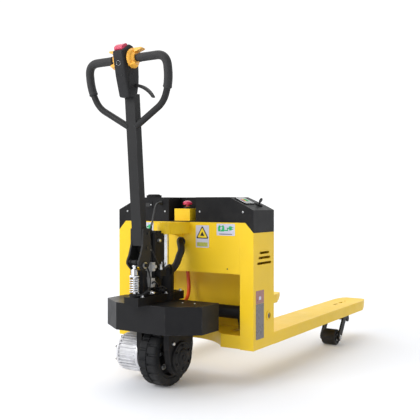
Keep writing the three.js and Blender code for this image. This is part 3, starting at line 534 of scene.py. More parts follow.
def tread_drop(x, turn):
    """How far the tread lies below its crown: cross grooves, staggered from side to side."""
    if not RIB_HALF <= abs(x) <= TREAD_HALF:
        return 0.0
    phase = (turn * TREAD_BLOCKS + (0.5 if x > 0 else 0.0)) % 1.0
    inside = 0.5 - abs(phase - 0.5)
    return GROOVE_DEPTH * min(max((GROOVE_HALF - inside) / GROOVE_SLOPE, 0.0), 1.0)


def make_tyre():
    steps = TREAD_BLOCKS * BLOCK_STEPS
    points, faces = [], []
    across = len(TYRE_SECTION)
    for i in range(steps):
        angle = 2 * math.pi * i / steps
        for x, r in TYRE_SECTION:
            here = (r - (tread_drop(x, i / steps) if r > TREAD_FOOT else 0.0)) * MM
            points.append(AXLE + Vector((x * MM, here * math.cos(angle), here * math.sin(angle))))
    for i in range(steps):
        n = (i + 1) % steps
        for k in range(across):
            m = (k + 1) % across
            faces.append((i * across + k, i * across + m, n * across + m, n * across + k))
    mesh = face_outward(mesh_of("tyre tread", points, faces))
    obj = piece("tyre_tread", mesh, TYRE, "drive_wheel")
    shade(obj.data, False)
    round_edges(obj, 0.8, 2, 40, harden=False)
    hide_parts("drive_tyre")


HUB_NUTS = 5
HUB_NUT_CIRCLE = 54
HUB_NUT_SEAT = 15.5  # from the middle of the tyre


def make_hub():
    for side in (1, -1):
        revolve(f"hub_dish_{side}", [(15.4, 40), (30, 40), (34, 37), (38, 16), (76, 14), (82, 36),
                                     (90.6, 38), (91, 36), (91, 0), (15.4, 0), (15.4, 40)],
                AXLE, (side, 0, 0), BLACK, "drive_wheel", 64)
        seat = AXLE + Vector((side * HUB_NUT_SEAT * MM, 0, 0))
        for i, spot in enumerate(around_x(seat, HUB_NUT_CIRCLE, HUB_NUTS, 0.3)):
            hexagon_bolt(f"hub_nut_{side}_{i}", spot, (side, 0, 0), 17, 9, ZINC, "drive_wheel")
    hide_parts("drive_hub")


make_tyre()
make_hub()

# ---- drive motor ----
MOTOR = middle("drive_motor")
MOTOR_R = (high("drive_motor").z - low("drive_motor").z) / 2 / MM
MOTOR_IN = high("drive_motor").x
MOTOR_LENGTH = (high("drive_motor").x - low("drive_motor").x) / MM
FINS = 30
FIN_FOOT = 66  # radius at which the fins leave the casing
MOTOR_BOLTS = 8
MOTOR_BOLT_CIRCLE = 65.5


def make_motor():
    """Turned casing along -X with its fins, end cover bolts and terminal box."""
    end = MOTOR_LENGTH
    revolve("motor_shell", [
        (0, 0), (76, 0), (77, 1.5), (77, 12), (74, 14), (67, 15), (67, end - 21), (73, end - 20),
        (74.5, end - 18), (74.5, end - 11), (70, end - 6), (58, end - 2.5), (40, end - 1),
        (38, end - 3), (24, end - 3), (22, end), (0, end),
    ], Vector((MOTOR_IN, AXLE.y, MOTOR.z)), LEFT, MOTOR_WHITE, "drive_unit", 72)
    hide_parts("drive_motor")
    mid_length = Vector((MOTOR_IN - MOTOR_LENGTH / 2 * MM, AXLE.y, MOTOR.z))
    for i in range(FINS):
        turn = Matrix.Rotation(2 * math.pi * (i + 0.5) / FINS, 3, "X")
        reach = turn @ Vector((0, 0, (FIN_FOOT + MOTOR_R) / 2 * MM))
        block(f"motor_fin_{i}", (MOTOR_LENGTH - 32, 3.2, MOTOR_R - FIN_FOOT), mid_length + reach,
              MOTOR_WHITE, "drive_unit", 0.9, turn)
    end_cover = Vector((MOTOR_IN - (MOTOR_LENGTH - 7) * MM, AXLE.y, MOTOR.z))
    for i, spot in enumerate(around_x(end_cover, MOTOR_BOLT_CIRCLE, MOTOR_BOLTS)):
        hexagon_bolt(f"motor_bolt_{i}", spot, LEFT, 11, 6.5, INK, "drive_unit", False)
    terminals = Vector((MOTOR_IN - 0.045, AXLE.y + 0.058, MOTOR.z + 0.058))
    block("motor_terminal_box", (46, 50, 26), terminals, PLASTIC, "drive_unit", 4,
          Matrix.Rotation(math.radians(-45), 3, "X"))


make_motor()

# ---- gearbox side ----
GEAR = middle("gearbox_cover")
GEAR_FACE = low("gearbox_cover").x
GEAR_BOLTS = 6
GEAR_BOLT_CIRCLE = 46.5
GEAR_BOLT_SEAT = 8.5  # out from the back of the cover


def make_gearbox():
    revolve("gear_cover", [
        (0, 0), (64, 0), (64, 6), (62.5, 8), (60, 8.6), (58, 8.2), (57, 7), (53, 7), (52, 8.6),
        (36, 9.4), (33, 12.5), (30, 13.6), (14, 14), (13, 12.4), (10, 12.4), (9, 15.4), (0, 15.7),
    ], Vector((GEAR_FACE, GEAR.y, GEAR.z)), RIGHT, BLACK, "drive_unit", 72)
    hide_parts("gearbox_cover")
    seat = Vector((GEAR_FACE + GEAR_BOLT_SEAT * MM, GEAR.y, GEAR.z))
    for i, spot in enumerate(around_x(seat, GEAR_BOLT_CIRCLE, GEAR_BOLTS)):
        hexagon_bolt(f"gear_bolt_{i}", spot, RIGHT, 11, 5.5, BLACK, "drive_unit", False)
    revolve("oil_plug", [(0, 7), (6.5, 7), (7, 6), (7, 0), (10, 0), (10, -0.5), (0, -0.5)],
            Vector((0.082, GEAR.y - 0.056, GEAR.z + 0.062)), RIGHT, ZINC, "drive_unit", 6)


make_gearbox()

# ---- load rollers ----
ROLLER_SECTION = [  # radius, distance from the middle: one half of a tread with two ribs
    (8.4, 36), (19, 36), (20, 35.4), (20.6, 33), (30, 33), (31, 36.6), (33.5, 37.4), (37.6, 36.4),
    (39.4, 34.2), (40, 31),
]


def make_roller(side, sign):
    body = f"load_wheel_{side[0]}"
    roller = middle(f"load_roller_{side}")
    mirrored = [(radius, -along) for radius, along in reversed(ROLLER_SECTION)]
    section = ROLLER_SECTION + mirrored + ROLLER_SECTION[:1]
    tread = revolve(f"roller_tread_{side}", section, roller, RIGHT, POLYURETHANE, body, 64)
    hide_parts(f"load_roller_{side}")
    for face in (1, -1):
        revolve(f"roller_bearing_{side}_{face}", [(8.5, 0.6), (18.6, 0.6), (18.6, -1), (8.5, -1)],
                roller + Vector((face * 0.036, 0, 0)), (face, 0, 0), STEEL, body, 40)
    load_frame = f"load_frame_{side}"
    outside = high(load_frame).x if sign > 0 else low(load_frame).x
    hexagon_bolt(f"roller_axle_nut_{side}", Vector((outside, roller.y, roller.z)), (sign, 0, 0),
                 18, 6, ZINC, f"load_frame_{side[0]}")


make_roller("right", 1)
make_roller("left", -1)

# ---- turned pieces with a finer outline ----
RAM_TOP = high("ram_rod").z / MM
RAM_R = 17.5
CYLINDER_FOOT = low("lift_cylinder").z / MM
CYLINDER_TOP = high("lift_cylinder").z / MM


def make_lift():
    """Bright ram rod with its piston, and the barrel round it."""
    ram = revolve("ram_bright", [(0, 396), (19, 396), (19, 412), (RAM_R, 412), (RAM_R, RAM_TOP),
                                 (0, RAM_TOP)],
                  STEER, UP, CHROME, "chassis", 64)
    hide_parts("ram_rod")
    foot, top = CYLINDER_FOOT, CYLINDER_TOP
    barrel = revolve("lift_barrel", [
        (20.2, foot), (38, foot), (38, top - 14), (37.6, top - 9), (35, top - 3.4),
        (31.5, top - 0.8), (29, top), (24, top), (23, top - 1.4), (19, top - 1.4), (18.1, top - 3),
        (18.1, top - 11), (20.2, top - 13), (20.2, foot),
    ], STEER, UP, BLACK, "drive_unit", 64)
    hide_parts("lift_cylinder")


def make_estop():
    """Red mushroom and the dark ring under it; the profiles give heights above the floor."""
    middle_line = Vector((0, middle("estop_button").y, 0))
    mushroom = revolve("estop_mushroom", [
        (0, 702), (8, 702), (8, 730), (18, 730.6), (19.6, 731.8), (20, 734), (19.4, 737.5),
        (17.6, 741.5), (14, 745), (9, 747), (4, 747.8), (0, 748),
    ], middle_line, UP, RED, "estop_knob", 48)
    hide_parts("estop_button")
    revolve("estop_ring", [(8.6, 713.6), (17.6, 713.6), (17.6, 718.6), (15.6, 721.4), (12.6, 723),
                           (8.6, 723), (8.6, 713.6)],
            middle_line, UP, INK, "chassis", 40)


PLUNGER_AXIS = Vector((0, PLUNGER.y, 0))
PLUNGER_TOP = high("plunger").z / MM


def make_plunger():
    top = PLUNGER_TOP
    stem = revolve("plunger_bright", [
        (0, 360), (6, 360), (6, 456), (19.4, 456), (20, 456.8), (20, 460), (19, 461.2),
        (15, 462.4), (14, 464.4), (14, 482), (12.6, 485), (7, 487), (7, top - 10), (9.4, top - 8),
        (9.8, top - 5), (9, top - 1.6), (6, top), (0, top),
    ], PLUNGER_AXIS, UP, CHROME, "pump_plunger", 40)
    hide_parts("plunger")


SPRING_R = 17.2
SPRING_WIRE = 2.6
SPRING_TURNS = 6.6
SPRING_STEPS = 210


def make_spring():
    foot = low("plunger_spring").z
    top = high("plunger_spring").z
    climb = top - foot - 2 * SPRING_WIRE * MM
    route = []
    for i in range(SPRING_STEPS + 1):
        share = i / SPRING_STEPS
        angle = 2 * math.pi * SPRING_TURNS * share
        out = Vector((math.cos(angle), math.sin(angle), 0)) * SPRING_R * MM
        route.append(PLUNGER_AXIS + out + Vector((0, 0, foot + SPRING_WIRE * MM + climb * share)))
    coil = pipe_mesh("spring coil", route, SPRING_WIRE, 12)
    obj = piece("spring_coil", coil, CHROME, "drive_unit")
    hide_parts("plunger_spring")
    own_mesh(obj)


make_lift()
make_estop()
make_plunger()
make_spring()

# ---- handle ----
LOOP_CORNERS = [(18, 1028), (156, 1108), (187, 1180), (187, 1277), (0, 1277)]
LOOP_BENDS = [0, 34, 40, 46, 0]
LOOP_Y = -331  # at the height LOOP_FOOT, leaning forward by LOOP_LEAN
LOOP_FOOT = 1040
LOOP_LEAN = 0.1465
LOOP_STEPS = 150  # in each half


def half_loop(side):
    """Right or left half of the handle's centreline, from the tiller to the head."""
    corners = [at(side * x, LOOP_Y - (z - LOOP_FOOT) * LOOP_LEAN, z) for x, z in LOOP_CORNERS]
    line = [corners[0]]
    for i in range(1, len(corners) - 1):
        here, reach = corners[i], LOOP_BENDS[i] * MM
        start = here + (corners[i - 1] - here).normalized() * reach
        end = here + (corners[i + 1] - here).normalized() * reach
        for j in range(CURVE_STEPS + 1):
            t = j / CURVE_STEPS
            line.append(start * (1 - t) ** 2 + here * 2 * t * (1 - t) + end * t * t)
    line.append(corners[-1])
    return evenly(line, LOOP_STEPS)


LOOP_R = 12.5
GRIP_R = 16.2
GRIP_FROM, GRIP_TO = 0.42, 0.885  # shares of the half's length


def make_handle():
    """One bar round the whole loop, with a sleeve on each half."""
    halves = {"right": half_loop(1), "left": half_loop(-1)}
    line = halves["right"] + list(reversed(halves["left"]))[1:]
    bar = piece("handle_bar", pipe_mesh("handle bar", line, LOOP_R, 24), TILLER_BLACK, "tiller")
    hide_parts("handle_loop")
    first, last = int(GRIP_FROM * LOOP_STEPS), int(GRIP_TO * LOOP_STEPS)
    count = last - first

    def lip(i):
        """Raised rim next to each end of the sleeve, and a rounded end."""
        return 1.0 + 0.055 * (i in (1, 2, count - 1, count - 2)) - 0.10 * (i in (0, count))

    for name, half in halves.items():
        mesh = pipe_mesh(f"grip {name}", half[first:last + 1], GRIP_R, 28, lip)
        sleeve = piece(f"grip_sleeve_{name}", mesh, GRIP, "tiller")
        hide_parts(f"grip_{name}")


make_handle()

# ---- head ----
HEAD_LEAN = math.radians(11)  # the front face leans forward from upright by this
HEAD_OUTLINE = [(-419.5, 1299), (-411, 1254), (-401, 1207), (-379, 1134), (-342, 1134),
                (-327, 1149), (-318.5, 1185), (-317.5, 1215), (-319.5, 1255), (-324, 1275),
                (-331, 1292), (-340, 1310), (-347, 1320), (-356, 1327), (-374, 1330)]


def make_head():
    """Housing with wide round edges, drawn from its side outline."""
    half = high("head_housing").x
    work = bmesh.new()
    outline = [at(0, y, z) for y, z in HEAD_OUTLINE]
    right = [work.verts.new((half, p.y, p.z)) for p in outline]
    left = [work.verts.new((-half, p.y, p.z)) for p in outline]
    caps = [work.faces.new(right), work.faces.new(list(reversed(left)))]
    count = len(outline)
    for i in range(count):
        k = (i + 1) % count
        work.faces.new((right[k], right[i], left[i], left[k]))
    bmesh.ops.recalc_face_normals(work, faces=work.faces)
    rims = {edge for cap in caps for edge in cap.edges}
    bmesh.ops.bevel(work, geom=list(rims), offset=0.0085, segments=6, profile=0.5, affect="EDGES")
    mesh = bpy.data.meshes.new("head shell")
    work.to_mesh(mesh)
    work.free()
    shell = piece("head_shell", mesh, HEAD_PLASTIC, "tiller")
    round_edges(shell, 4, 4, 24, harden=False)
    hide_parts("head_housing")


def make_head_trim():
    """Ring round the horn button, screws, and a raised panel on each side."""
    horn_axis = Vector((0, -math.cos(HEAD_LEAN), -math.sin(HEAD_LEAN)))
    revolve("horn_ring", [(8.3, -1), (9.6, -1), (9.6, 0.6), (9.0, 1.3), (8.3, 0.8), (8.3, -1)],
            middle("horn_button") + horn_axis * MM, horn_axis, ZINC, "tiller", 40)
    for x in (-11, 11):
        screw(f"head_screw_{x}", at(x, -402.4, 1213), horn_axis, 3.0, INK, "tiller")
    for side in (1, -1):
        plate(f"head_side_panel_{side}", rounded(42, 66, 9), 0.9, at(side * 25.5, -360, 1196),
              (0, side, 0), UP, HEAD_PLASTIC, "tiller")
        for z in (1172, 1221):
            screw(f"head_side_screw_{side}_{z}", at(side * 26.3, -360, z), (side, 0, 0), 2.6, INK,
                  "tiller")


make_head()
make_head_trim()

# ---- tiller ----
CHEEK_OUT = 31  # outer face of the tiller's cheeks
PIN_END = 37


def make_tiller_trim():
    """Bolts, the two cam rollers that push the plunger, and the pivot nuts."""
    roller = [(7, -2.2), (9.5, -2.2), (10.2, -1.6), (10.2, 1.6), (9.5, 2.2), (7, 2.2), (7, -2.2)]
    for side in (1, -1):
        for y, z in ((-276, 620), (-282, 566)):
            hexagon_bolt(f"tiller_bolt_{side}_{z}", at(side * CHEEK_OUT, y, z), (side, 0, 0), 11, 5,
                         INK, "tiller", False)
        revolve(f"cam_roller_{side}", roller, at(side * 12.9, -320, 513), RIGHT, BLACK, "tiller",
                36)
        hexagon_bolt(f"pivot_nut_{side}", at(side * PIN_END, -298, 500), (side, 0, 0), 17, 7, BLACK,
                     "drive_unit")


make_tiller_trim()

# ---- pump details ----
HOSES = (  # name, radius, places from the middle, the front face and the floor
    ("oil_pipe", 4.2, [(30, -200, 470), (50, -190, 482), (54, -165, 492), (46, -140, 480),
                       (38, -128, 450)]),
    ("return_pipe", 3.6, [(-22, -236, 470), (-34, -248, 452), (-38, -244, 420), (-32, -226, 394)]),
    ("switch_lead", 2.6, [(-8, -244, 600), (12, -256, 560), (20, -254, 520), (10, -258, 500),
                          (26, -262, 470), (34, -264, 440), (30, -262, 400)]),
    ("lowering_cable", 2.4, [(14, -262, 640), (20, -257, 600), (30, -250, 560), (36, -238, 530),
                             (40, -222, 500), (36, -206, 474)]),
    ("pressure_hose", 3.2, [(30, -262, 400), (44, -280, 412), (46, -300, 402), (36, -318, 390),
                            (20, -330, 386)]),
    ("tank_hose", 3.6, [(34, -232, 404), (52, -240, 420), (50, -258, 434), (40, -262, 428)]),
    ("sensor_lead", 2.4, [(48, -172, 384), (58, -190, 398), (52, -212, 412), (46, -228, 408)]),
    ("brake_lead", 2.6, [(-30, -246, 610), (-36, -258, 560), (-38, -262, 500), (-34, -262, 440),
                         (-30, -250, 396)]),
)
HOSE_STEPS = 48
FOOT_BOLTS = ((33, -62), (33, -160), (-33, -62), (-33, -160), (27, -306), (-27, -306))
FOOT_TOP = 378  # upper face of the pump's foot
BLOCK_TOP = 626  # upper face of the valve block
CARTRIDGES = (  # place, radius, length, paint
    ((30, -215, 398), 9, 34, BLACK),
    ((26, -262, 392), 8, 26, ZINC),
    ((30, -290, 396), 6.5, 20, BLACK),
)


def make_hoses():
    for name, radius, marks in HOSES:
        route = spline([at(*mark) for mark in marks], HOSE_STEPS)
        piece(name, pipe_mesh(name, route, radius, 16), CABLE, "drive_unit")
    for x in (26, -22):
        block(f"cable_tie_{x}", (12, 3, 4), at(x, -256, 556), GREY_CAST, "drive_unit", 0.8)


def make_foot():
    """What stands on the pump's foot: bolts, the bleed screw, the spring seat and a web."""
    for x, y in FOOT_BOLTS:
        hexagon_bolt(f"foot_bolt_{x}_{y}", at(x, y, FOOT_TOP), UP, 13, 7, ZINC, "drive_unit")
    revolve("bleed_screw", [(0, 12), (4.5, 12), (5, 11), (5, 0), (8, 0), (8, -1), (0, -1)],
            at(0, -240, FOOT_TOP), UP, ZINC, "drive_unit", 24)
    revolve("spring_seat", [(12, 386), (21.6, 386), (22, 387), (22, 389.4), (21, 390.2),
                            (12, 390.2), (12, 386)],
            PLUNGER_AXIS, UP, BLACK, "drive_unit", 40)
    block("pump_web", (31, 6, 96), at(0, -280, 430), BLACK, "drive_unit", 1.5)


def make_valves():
    revolve("relief_valve", [(0, 22), (6, 22), (7, 20), (7, 8), (9.5, 8), (9.5, 0), (0, 0)],
            at(38, -204, 476), UP, ZINC, "drive_unit", 6)
    cap = [(0, 0), (6, 0), (8.4, -2), (9.2, -5), (9.2, -9), (0, -9)]
    for x in (-20, 24):
        revolve(f"block_cap_{x}", cap, at(x, -230, BLOCK_TOP), UP, BLACK, "drive_unit", 28)
    revolve("block_plug", [(0, 9), (6, 9), (6.5, 8), (6.5, 0), (10, 0), (10, -1), (0, -1)],
            at(30, -205, 590), RIGHT, ZINC, "drive_unit", 6)
    block("solenoid", (26, 30, 34), at(-36, -212, 446), PLASTIC, "drive_unit", 4)
    block("solenoid_plug", (10, 22, 20), at(-53, -212, 448), GREY_CAST, "drive_unit", 2.5)
    for i, (place, r, length, paint) in enumerate(CARTRIDGES):
        revolve(f"cartridge_{i}", [(0, length), (r * 0.55, length), (r * 0.7, length - 2),
                                   (r * 0.7, length * 0.55), (r, length * 0.5), (r, 2),
                                   (r * 0.9, 0), (0, 0)],
                at(*place), RIGHT, paint, "drive_unit", 28)


make_hoses()
make_foot()
make_valves()

# ---- guard ----
GUARD_TOP = high("guard").z / MM
for x, y in ((112, -158), (164, -150), (-112, -158), (-164, -150)):
    screw(f"guard_screw_{x}", at(x, y, GUARD_TOP), UP, 3.8, ZINC, "drive_unit")

# ---- chassis details ----
COVER_SCREW_Z = 702
BACK_SCREW_Z = 644
DEPTH = (high("back_plate").y - FRONT) / MM
SOCKET_X, SOCKET_Z = -180, 730


def make_panel_screws():
    for x in (-295, -89, 89, 295):
        screw(f"cover_screw_{x}", at(x, 0, COVER_SCREW_Z), FORWARD, 4.4, ZINC, "chassis")
    for x in (-240, -90, 90, 240):
        screw(f"back_screw_{x}", at(x, DEPTH, BACK_SCREW_Z), BACK, 4.4, ZINC, "chassis")
    revolve("panel_plug", [(0, 0.4), (2.6, 0.4), (3.4, 0.1), (3.4, -1.5), (0, -1.5)],
            at(222, 0, 471), FORWARD, INK, "chassis", 28)


def make_charging_socket():
    plate("socket_plate", rounded(46, 28, 4), 2.2, at(SOCKET_X, 0, SOCKET_Z), RIGHT, UP, PLASTIC,
          "chassis")
    plate("socket_well", rounded(22, 16, 4), 0.5, at(SOCKET_X, -2.3, SOCKET_Z), RIGHT, UP, INK,
          "chassis")
    for x in (SOCKET_X - 17, SOCKET_X + 17):
        screw(f"socket_screw_{x}", at(x, -2.2, SOCKET_Z), FORWARD, 3.0, ZINC, "chassis")
    for i in range(4):
        block(f"socket_lid_rib_{i}", (34, 2.4, 1.6), at(SOCKET_X, 31 + i * 8, 775), PLASTIC,
              "chassis", 0.7)


make_panel_screws()
make_charging_socket()

# ---- signs ----
def shifted(outline, du, dv):
    return [(u + du, v + dv) for u, v in outline]


def printed(name, outline, x, z, layer, paint):
    """A thin printed shape on the front face; layer 1 lies on the film, the next ones on it."""
    plate(name, outline, 0.3, at(x, -0.3 - 0.32 * layer, z), RIGHT, UP, paint, "chassis")


def film(name, width, height, x, z):
    """The pale film that a sign is printed on."""
    plate(name, rounded(width, height, 2.5), 0.5, at(x, -0.1, z), RIGHT, UP, LABEL_PALE, "chassis")


POWER_Z = 630
POWER_SHAPES = (  # width, height, corner radius, place: a battery on a lead with a plug
    (30, 21, 4, (-21, 3)), (7, 4, 1.2, (-29, 15)), (7, 4, 1.2, (-13, 15)),
    (16, 4.4, 1.8, (1, -3)), (4.4, 12, 1.8, (9, 1)), (10, 4.4, 1.8, (12, 6)),
    (13, 17, 3.5, (22, 6)), (9, 3, 1.2, (32, 10)), (9, 3, 1.2, (32, 2)),
)
SPARK = [(-23, 11), (-14, 11), (-19, 4.5), (-14, 4.5), (-26, -6), (-22, 1), (-27, 1)]


def power_label(name, x):
    """Pale film with a green battery and plug, a generic sign for electric drive."""
    film(f"{name}_plate", 86, 48, x, POWER_Z)
    for i, (width, height, corner, place) in enumerate(POWER_SHAPES):
        outline = shifted(rounded(width, height, corner), *place)
        printed(f"{name}_ink_{i}", outline, x, POWER_Z, 1, LABEL_GREEN)
    printed(f"{name}_bolt", SPARK, x, POWER_Z, 2, LABEL_PALE)
    printed(f"{name}_line", shifted(rounded(62, 2.6, 1), 0, -18), x, POWER_Z, 1, INK)


power_label("power_sign_right", 214.5)
power_label("power_sign_left", -194)


def triangle(size, lift=0.0):
    """Upright triangle with round corners."""
    outline = []
    corner = size * 0.12
    for k in range(3):
        base = 90 + 120 * k
        centre = math.radians(base)
        reach = size - corner
        for i in range(7):
            angle = math.radians(base - 60 + 120 * i / 6)
            outline.append((reach * math.cos(centre) + corner * math.cos(angle),
                            reach * math.sin(centre) + corner * math.sin(angle) + lift))
    return outline


CAUTION_AT = (102, 600)


def caution_label():
    """Pale film with a plain yellow triangle over an olive strip."""
    film("caution_plate", 64, 92, *CAUTION_AT)
    printed("caution_border", triangle(32, 9), *CAUTION_AT, 1, INK)
    printed("caution_field", triangle(25, 9), *CAUTION_AT, 2, LABEL_YELLOW)
    printed("caution_mark", triangle(11, 8), *CAUTION_AT, 3, INK)
    printed("caution_strip", shifted(rounded(52, 17, 1.5), 0, -33), *CAUTION_AT, 1, LABEL_OLIVE)


caution_label()

# ---- side columns ----
SIDE_X = 342.5
WINDOW_Y, WINDOW_Z = 53.5, 290
SHAFT_Y, SHAFT_Z = 131, 276


def make_side(side):
    """Two-tone window, and the end of the rocker's shaft in its boss, with a black disc in its
    centre hole as painted shade.
    """
    across, outward = (0, side, 0), (side, 0, 0)
    place = at(side * SIDE_X, WINDOW_Y, WINDOW_Z)
    plate(f"side_window_top_{side}", shifted(rounded(67, 52, 2), 0, 71), 0.6, place, across, UP,
          LABEL_BROWN, "chassis")
    plate(f"side_window_low_{side}", shifted(rounded(67, 142, 2), 0, -27), 0.6, place, across, UP,
          LABEL_DARK, "chassis")
    plate(f"side_window_mark_{side}", shifted(rounded(18, 14, 4), 0, 66), 0.25,
          place + Vector(outward) * 0.6 * MM, across, UP, LABEL_PALE, "chassis")
    revolve(f"shaft_end_{side}", [(0, -1.4), (6, -1.4), (6.6, 0), (10.5, 0), (12, -1.2), (12, -4),
                                  (0, -4)],
            at(side * 340.6, SHAFT_Y, SHAFT_Z), outward, STEEL, "rocker", 40)
    # Black disc in the shaft's centre hole: painted shade for the inside of the hole.
    revolve(f"shaft_hole_shade_{side}", [(0, 0.5), (6.3, 0.5), (6.3, -1), (0, -1)],
            at(side * 339.6, SHAFT_Y, SHAFT_Z), outward, INK, "rocker", 32)


make_side(1)
make_side(-1)

# ---- right shoulder of the cover ----
SLOPE = math.atan2(53, 110.5)
SHOULDER_OUT = Vector((math.sin(SLOPE), 0, math.cos(SLOPE)))
SHOULDER_ALONG = Vector((math.cos(SLOPE), 0, -math.sin(SLOPE)))
SHOULDER_START = 232  # where the slope leaves the level top
COVER_TOP = 762
METER_AT, KEY_AT = (268, 60), (300, 122)


def on_shoulder(x, y, out=0.0):
    """A place on the sloping shoulder, or out from it along its normal."""
    z = COVER_TOP - (x - SHOULDER_START) * math.tan(SLOPE)
    return at(x, y, z) + SHOULDER_OUT * out * MM


def on_meter(name, outline, thickness, lift, paint):
    place = on_shoulder(*METER_AT, lift)
    plate(name, outline, thickness, place, SHOULDER_ALONG, BACK, paint, "chassis")


def make_meter():
    """Face of the battery meter: a frame, a glass and a row of bars."""
    on_meter("meter_frame", rounded(53, 73, 5), 0.7, 4.0, ZINC)
    on_meter("meter_face", rounded(45, 65, 3), 0.7, 4.6, LENS)
    for i, paint in enumerate([RED] * 2 + [LABEL_YELLOW] * 2 + [LABEL_GREEN] * 4):
        on_meter(f"meter_bar_{i}", shifted(rounded(20, 4, 1), 0, -22 + i * 6), 0.3, 5.4, paint)


def make_key_bezel():
    bezel = revolve("key_bezel", [
        (3.2, -4), (3.2, 5.5), (6, 6.6), (11.6, 6.8), (13, 5.6), (16.4, 4.4), (17, 3.4), (17, 0.5),
        (12.7, 0.4), (12.7, -26), (3.2, -26), (3.2, -4),
    ], on_shoulder(*KEY_AT), SHOULDER_OUT, BLACK, "chassis", 56)
    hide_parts("key_switch")


make_meter()
make_key_bezel()

# ---- cables that cross the lift joint ----
CONDUIT_MARKS = [(-6, 24, 575), (-6, 6, 575), (-2, -10, 572), (12, -26, 560), (22, -38, 542),
                 (20, -50, 518), (13, -60, 487), (4, -73, 467), (2, -85, 463.6)]
SIGNAL_MARKS = [(-109, 2, 738), (-109, -14, 739), (-100, -50, 728), (-78, -95, 690),
                (-52, -140, 656), (-28, -176, 652), (-13, -197, 645), (-10, -202, 636),
                (-10, -202, 627)]
MOTOR_MARKS = [(-62, 132, 600), (-62, 132, 470), (-62, 132, 440), (-58, 132, 400),
               (-50, 124, 362), (-40, 98, 328), (-32, 60, 312), (-27, 10, 310), (-25, -25, 314),
               (-25, -53.5, 315)]


def lead(name, node, marks, steps, radius, sides, paint=CABLE, ripple=None):
    """A cable that stands for a CAD node and curves between two places."""
    route = spline([at(*mark) for mark in marks], steps)
    obj = piece(name, pipe_mesh(name, route, radius, sides, ripple), paint, None)
    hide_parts(node)
    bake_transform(obj)


def corrugation(i):
    return 1.0 - 0.05 * (i % 4 in (0, 3))


lead("conduit_hose", "conduit", CONDUIT_MARKS, 150, 15, 28,
     ripple=corrugation)
lead("signal_lead", "signal_cable", SIGNAL_MARKS, 90, 4, 18)
lead("motor_lead", "motor_cable", MOTOR_MARKS, 120, 8, 20,
     CABLE_ORANGE)
revolve("conduit_gland", [(15.2, -2), (21.5, -2), (22, 0.5), (20.5, 3.2), (17.5, 4.6), (15.2, 4.6),
                          (15.2, -2)],
        at(-6, 0, 575), FORWARD, INK, "chassis", 40)
revolve("signal_gland", [(0, 0), (9, 0), (9, 4), (7.5, 6), (6, 14), (4.2, 16), (0, 16)],
        at(-109, 0, 738), FORWARD, INK, "chassis", 28)

# ---- stage, light and camera ----
FLOOR_HALF = 30
FLOOR_DROP = 0.4 * MM  # keeps the floor clear of the wheels' lowest points


def make_stage():
    """Pale floor that glows a little more the further it is from the truck."""
    half = FLOOR_HALF
    floor_mesh = mesh_of("floor", [(-half, -half, 0), (half, -half, 0), (half, half, 0),
                                   (-half, half, 0)], [(0, 1, 2, 3)])
    floor = bpy.data.objects.new("floor", floor_mesh)
    bpy.context.scene.collection.objects.link(floor)
    floor.location.z = -FLOOR_DROP
    g = Graph("pale floor")
    cloud = g.ramp(g.noise(0.6, 2.0), 0.3, 0.7)
    g.to("Base Color", g.mix(cloud, colour(0.80, 0.815, 0.85), colour(0.82, 0.835, 0.87)))
    g.to("Roughness", 0.85)
    g.to("Specular IOR Level", 0.1)
    g.to("Emission Color", colour(1.0, 1.0, 1.0))
    far = g.add("ShaderNodeVectorMath", {0: g.place}, operation="LENGTH").outputs["Value"]
    g.to("Emission Strength", g.ramp(far, 1.6, 4.5, 0.05, 0.32))
    floor_mesh.materials.append(g.material)


def area_light(name, place, target, size, power):
    data = bpy.data.lights.new(name, "AREA")
    data.shape = "RECTANGLE"
    data.size, data.size_y = size
    data.energy = power
    lamp = bpy.data.objects.new(name, data)
    lamp.location = place
    lamp.rotation_mode = "QUATERNION"
    lamp.rotation_quaternion = (Vector(target) - Vector(place)).to_track_quat("-Z", "Y")
    bpy.context.scene.collection.objects.link(lamp)


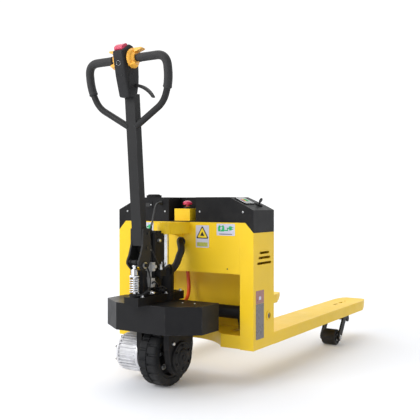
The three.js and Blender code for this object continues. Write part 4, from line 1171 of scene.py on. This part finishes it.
DIM_SIDE = (0.93, -0.25, 0.1)  # the studio is darker on the truck's right
LAMPS = (  # name, place, target, size, watts
    ("key", (-1.4, -4.4, 2.8), (0, 0, 0.5), (2.6, 2.0), 106),
    ("top", (-0.5, 0.6, 4.2), (0, 0, 0.5), (3.5, 3.5), 42),
    ("side", (3.8, 0.4, 2.0), (0, 0, 0.5), (2.0, 2.4), 2),
    ("rim", (-3.0, 2.2, 2.4), (0, -0.5, 0.8), (2.0, 2.0), 20),
)


def make_light():
    """White surroundings that fall off towards the dim side, and four soft lamps."""
    world = bpy.data.worlds.new("studio")
    world.use_nodes = True
    tree = world.node_tree
    sky = tree.nodes.new("ShaderNodeTexCoord").outputs["Generated"]
    toward = tree.nodes.new("ShaderNodeVectorMath")
    toward.operation = "DOT_PRODUCT"
    toward.inputs[1].default_value = Vector(DIM_SIDE).normalized()
    fall = tree.nodes.new("ShaderNodeMapRange")
    for key, value in (("From Min", 0.1), ("From Max", 0.75), ("To Min", 1.08), ("To Max", 0.5)):
        fall.inputs[key].default_value = value
    tree.links.new(sky, toward.inputs[0])
    tree.links.new(toward.outputs["Value"], fall.inputs["Value"])
    tree.links.new(fall.outputs["Result"], tree.nodes["Background"].inputs["Strength"])
    tree.nodes["Background"].inputs["Color"].default_value = (1, 1, 1, 1)
    bpy.context.scene.world = world
    for lamp in LAMPS:
        area_light(*lamp)


CAMERA_AZIMUTH = math.radians(32.5)
CAMERA_PITCH = math.radians(0.672)  # looking down
CAMERA_AT = (1.6421, FRONT - 2.3592, 0.742)
CAMERA_LENS = 58.46
SENSOR_WIDTH = 36.0


def make_camera():
    data = bpy.data.cameras.new("camera")
    data.sensor_width = SENSOR_WIDTH
    data.lens = CAMERA_LENS
    camera = bpy.data.objects.new("camera", data)
    ahead = Vector((-math.sin(CAMERA_AZIMUTH) * math.cos(CAMERA_PITCH),
                    math.cos(CAMERA_AZIMUTH) * math.cos(CAMERA_PITCH), -math.sin(CAMERA_PITCH)))
    camera.location = CAMERA_AT
    camera.rotation_mode = "QUATERNION"
    camera.rotation_quaternion = ahead.to_track_quat("-Z", "Y")
    bpy.context.scene.collection.objects.link(camera)
    bpy.context.scene.camera = camera


make_stage()
make_light()
make_camera()
bpy.context.scene.view_settings.view_transform = "Standard"  # keeps the paint's full colour
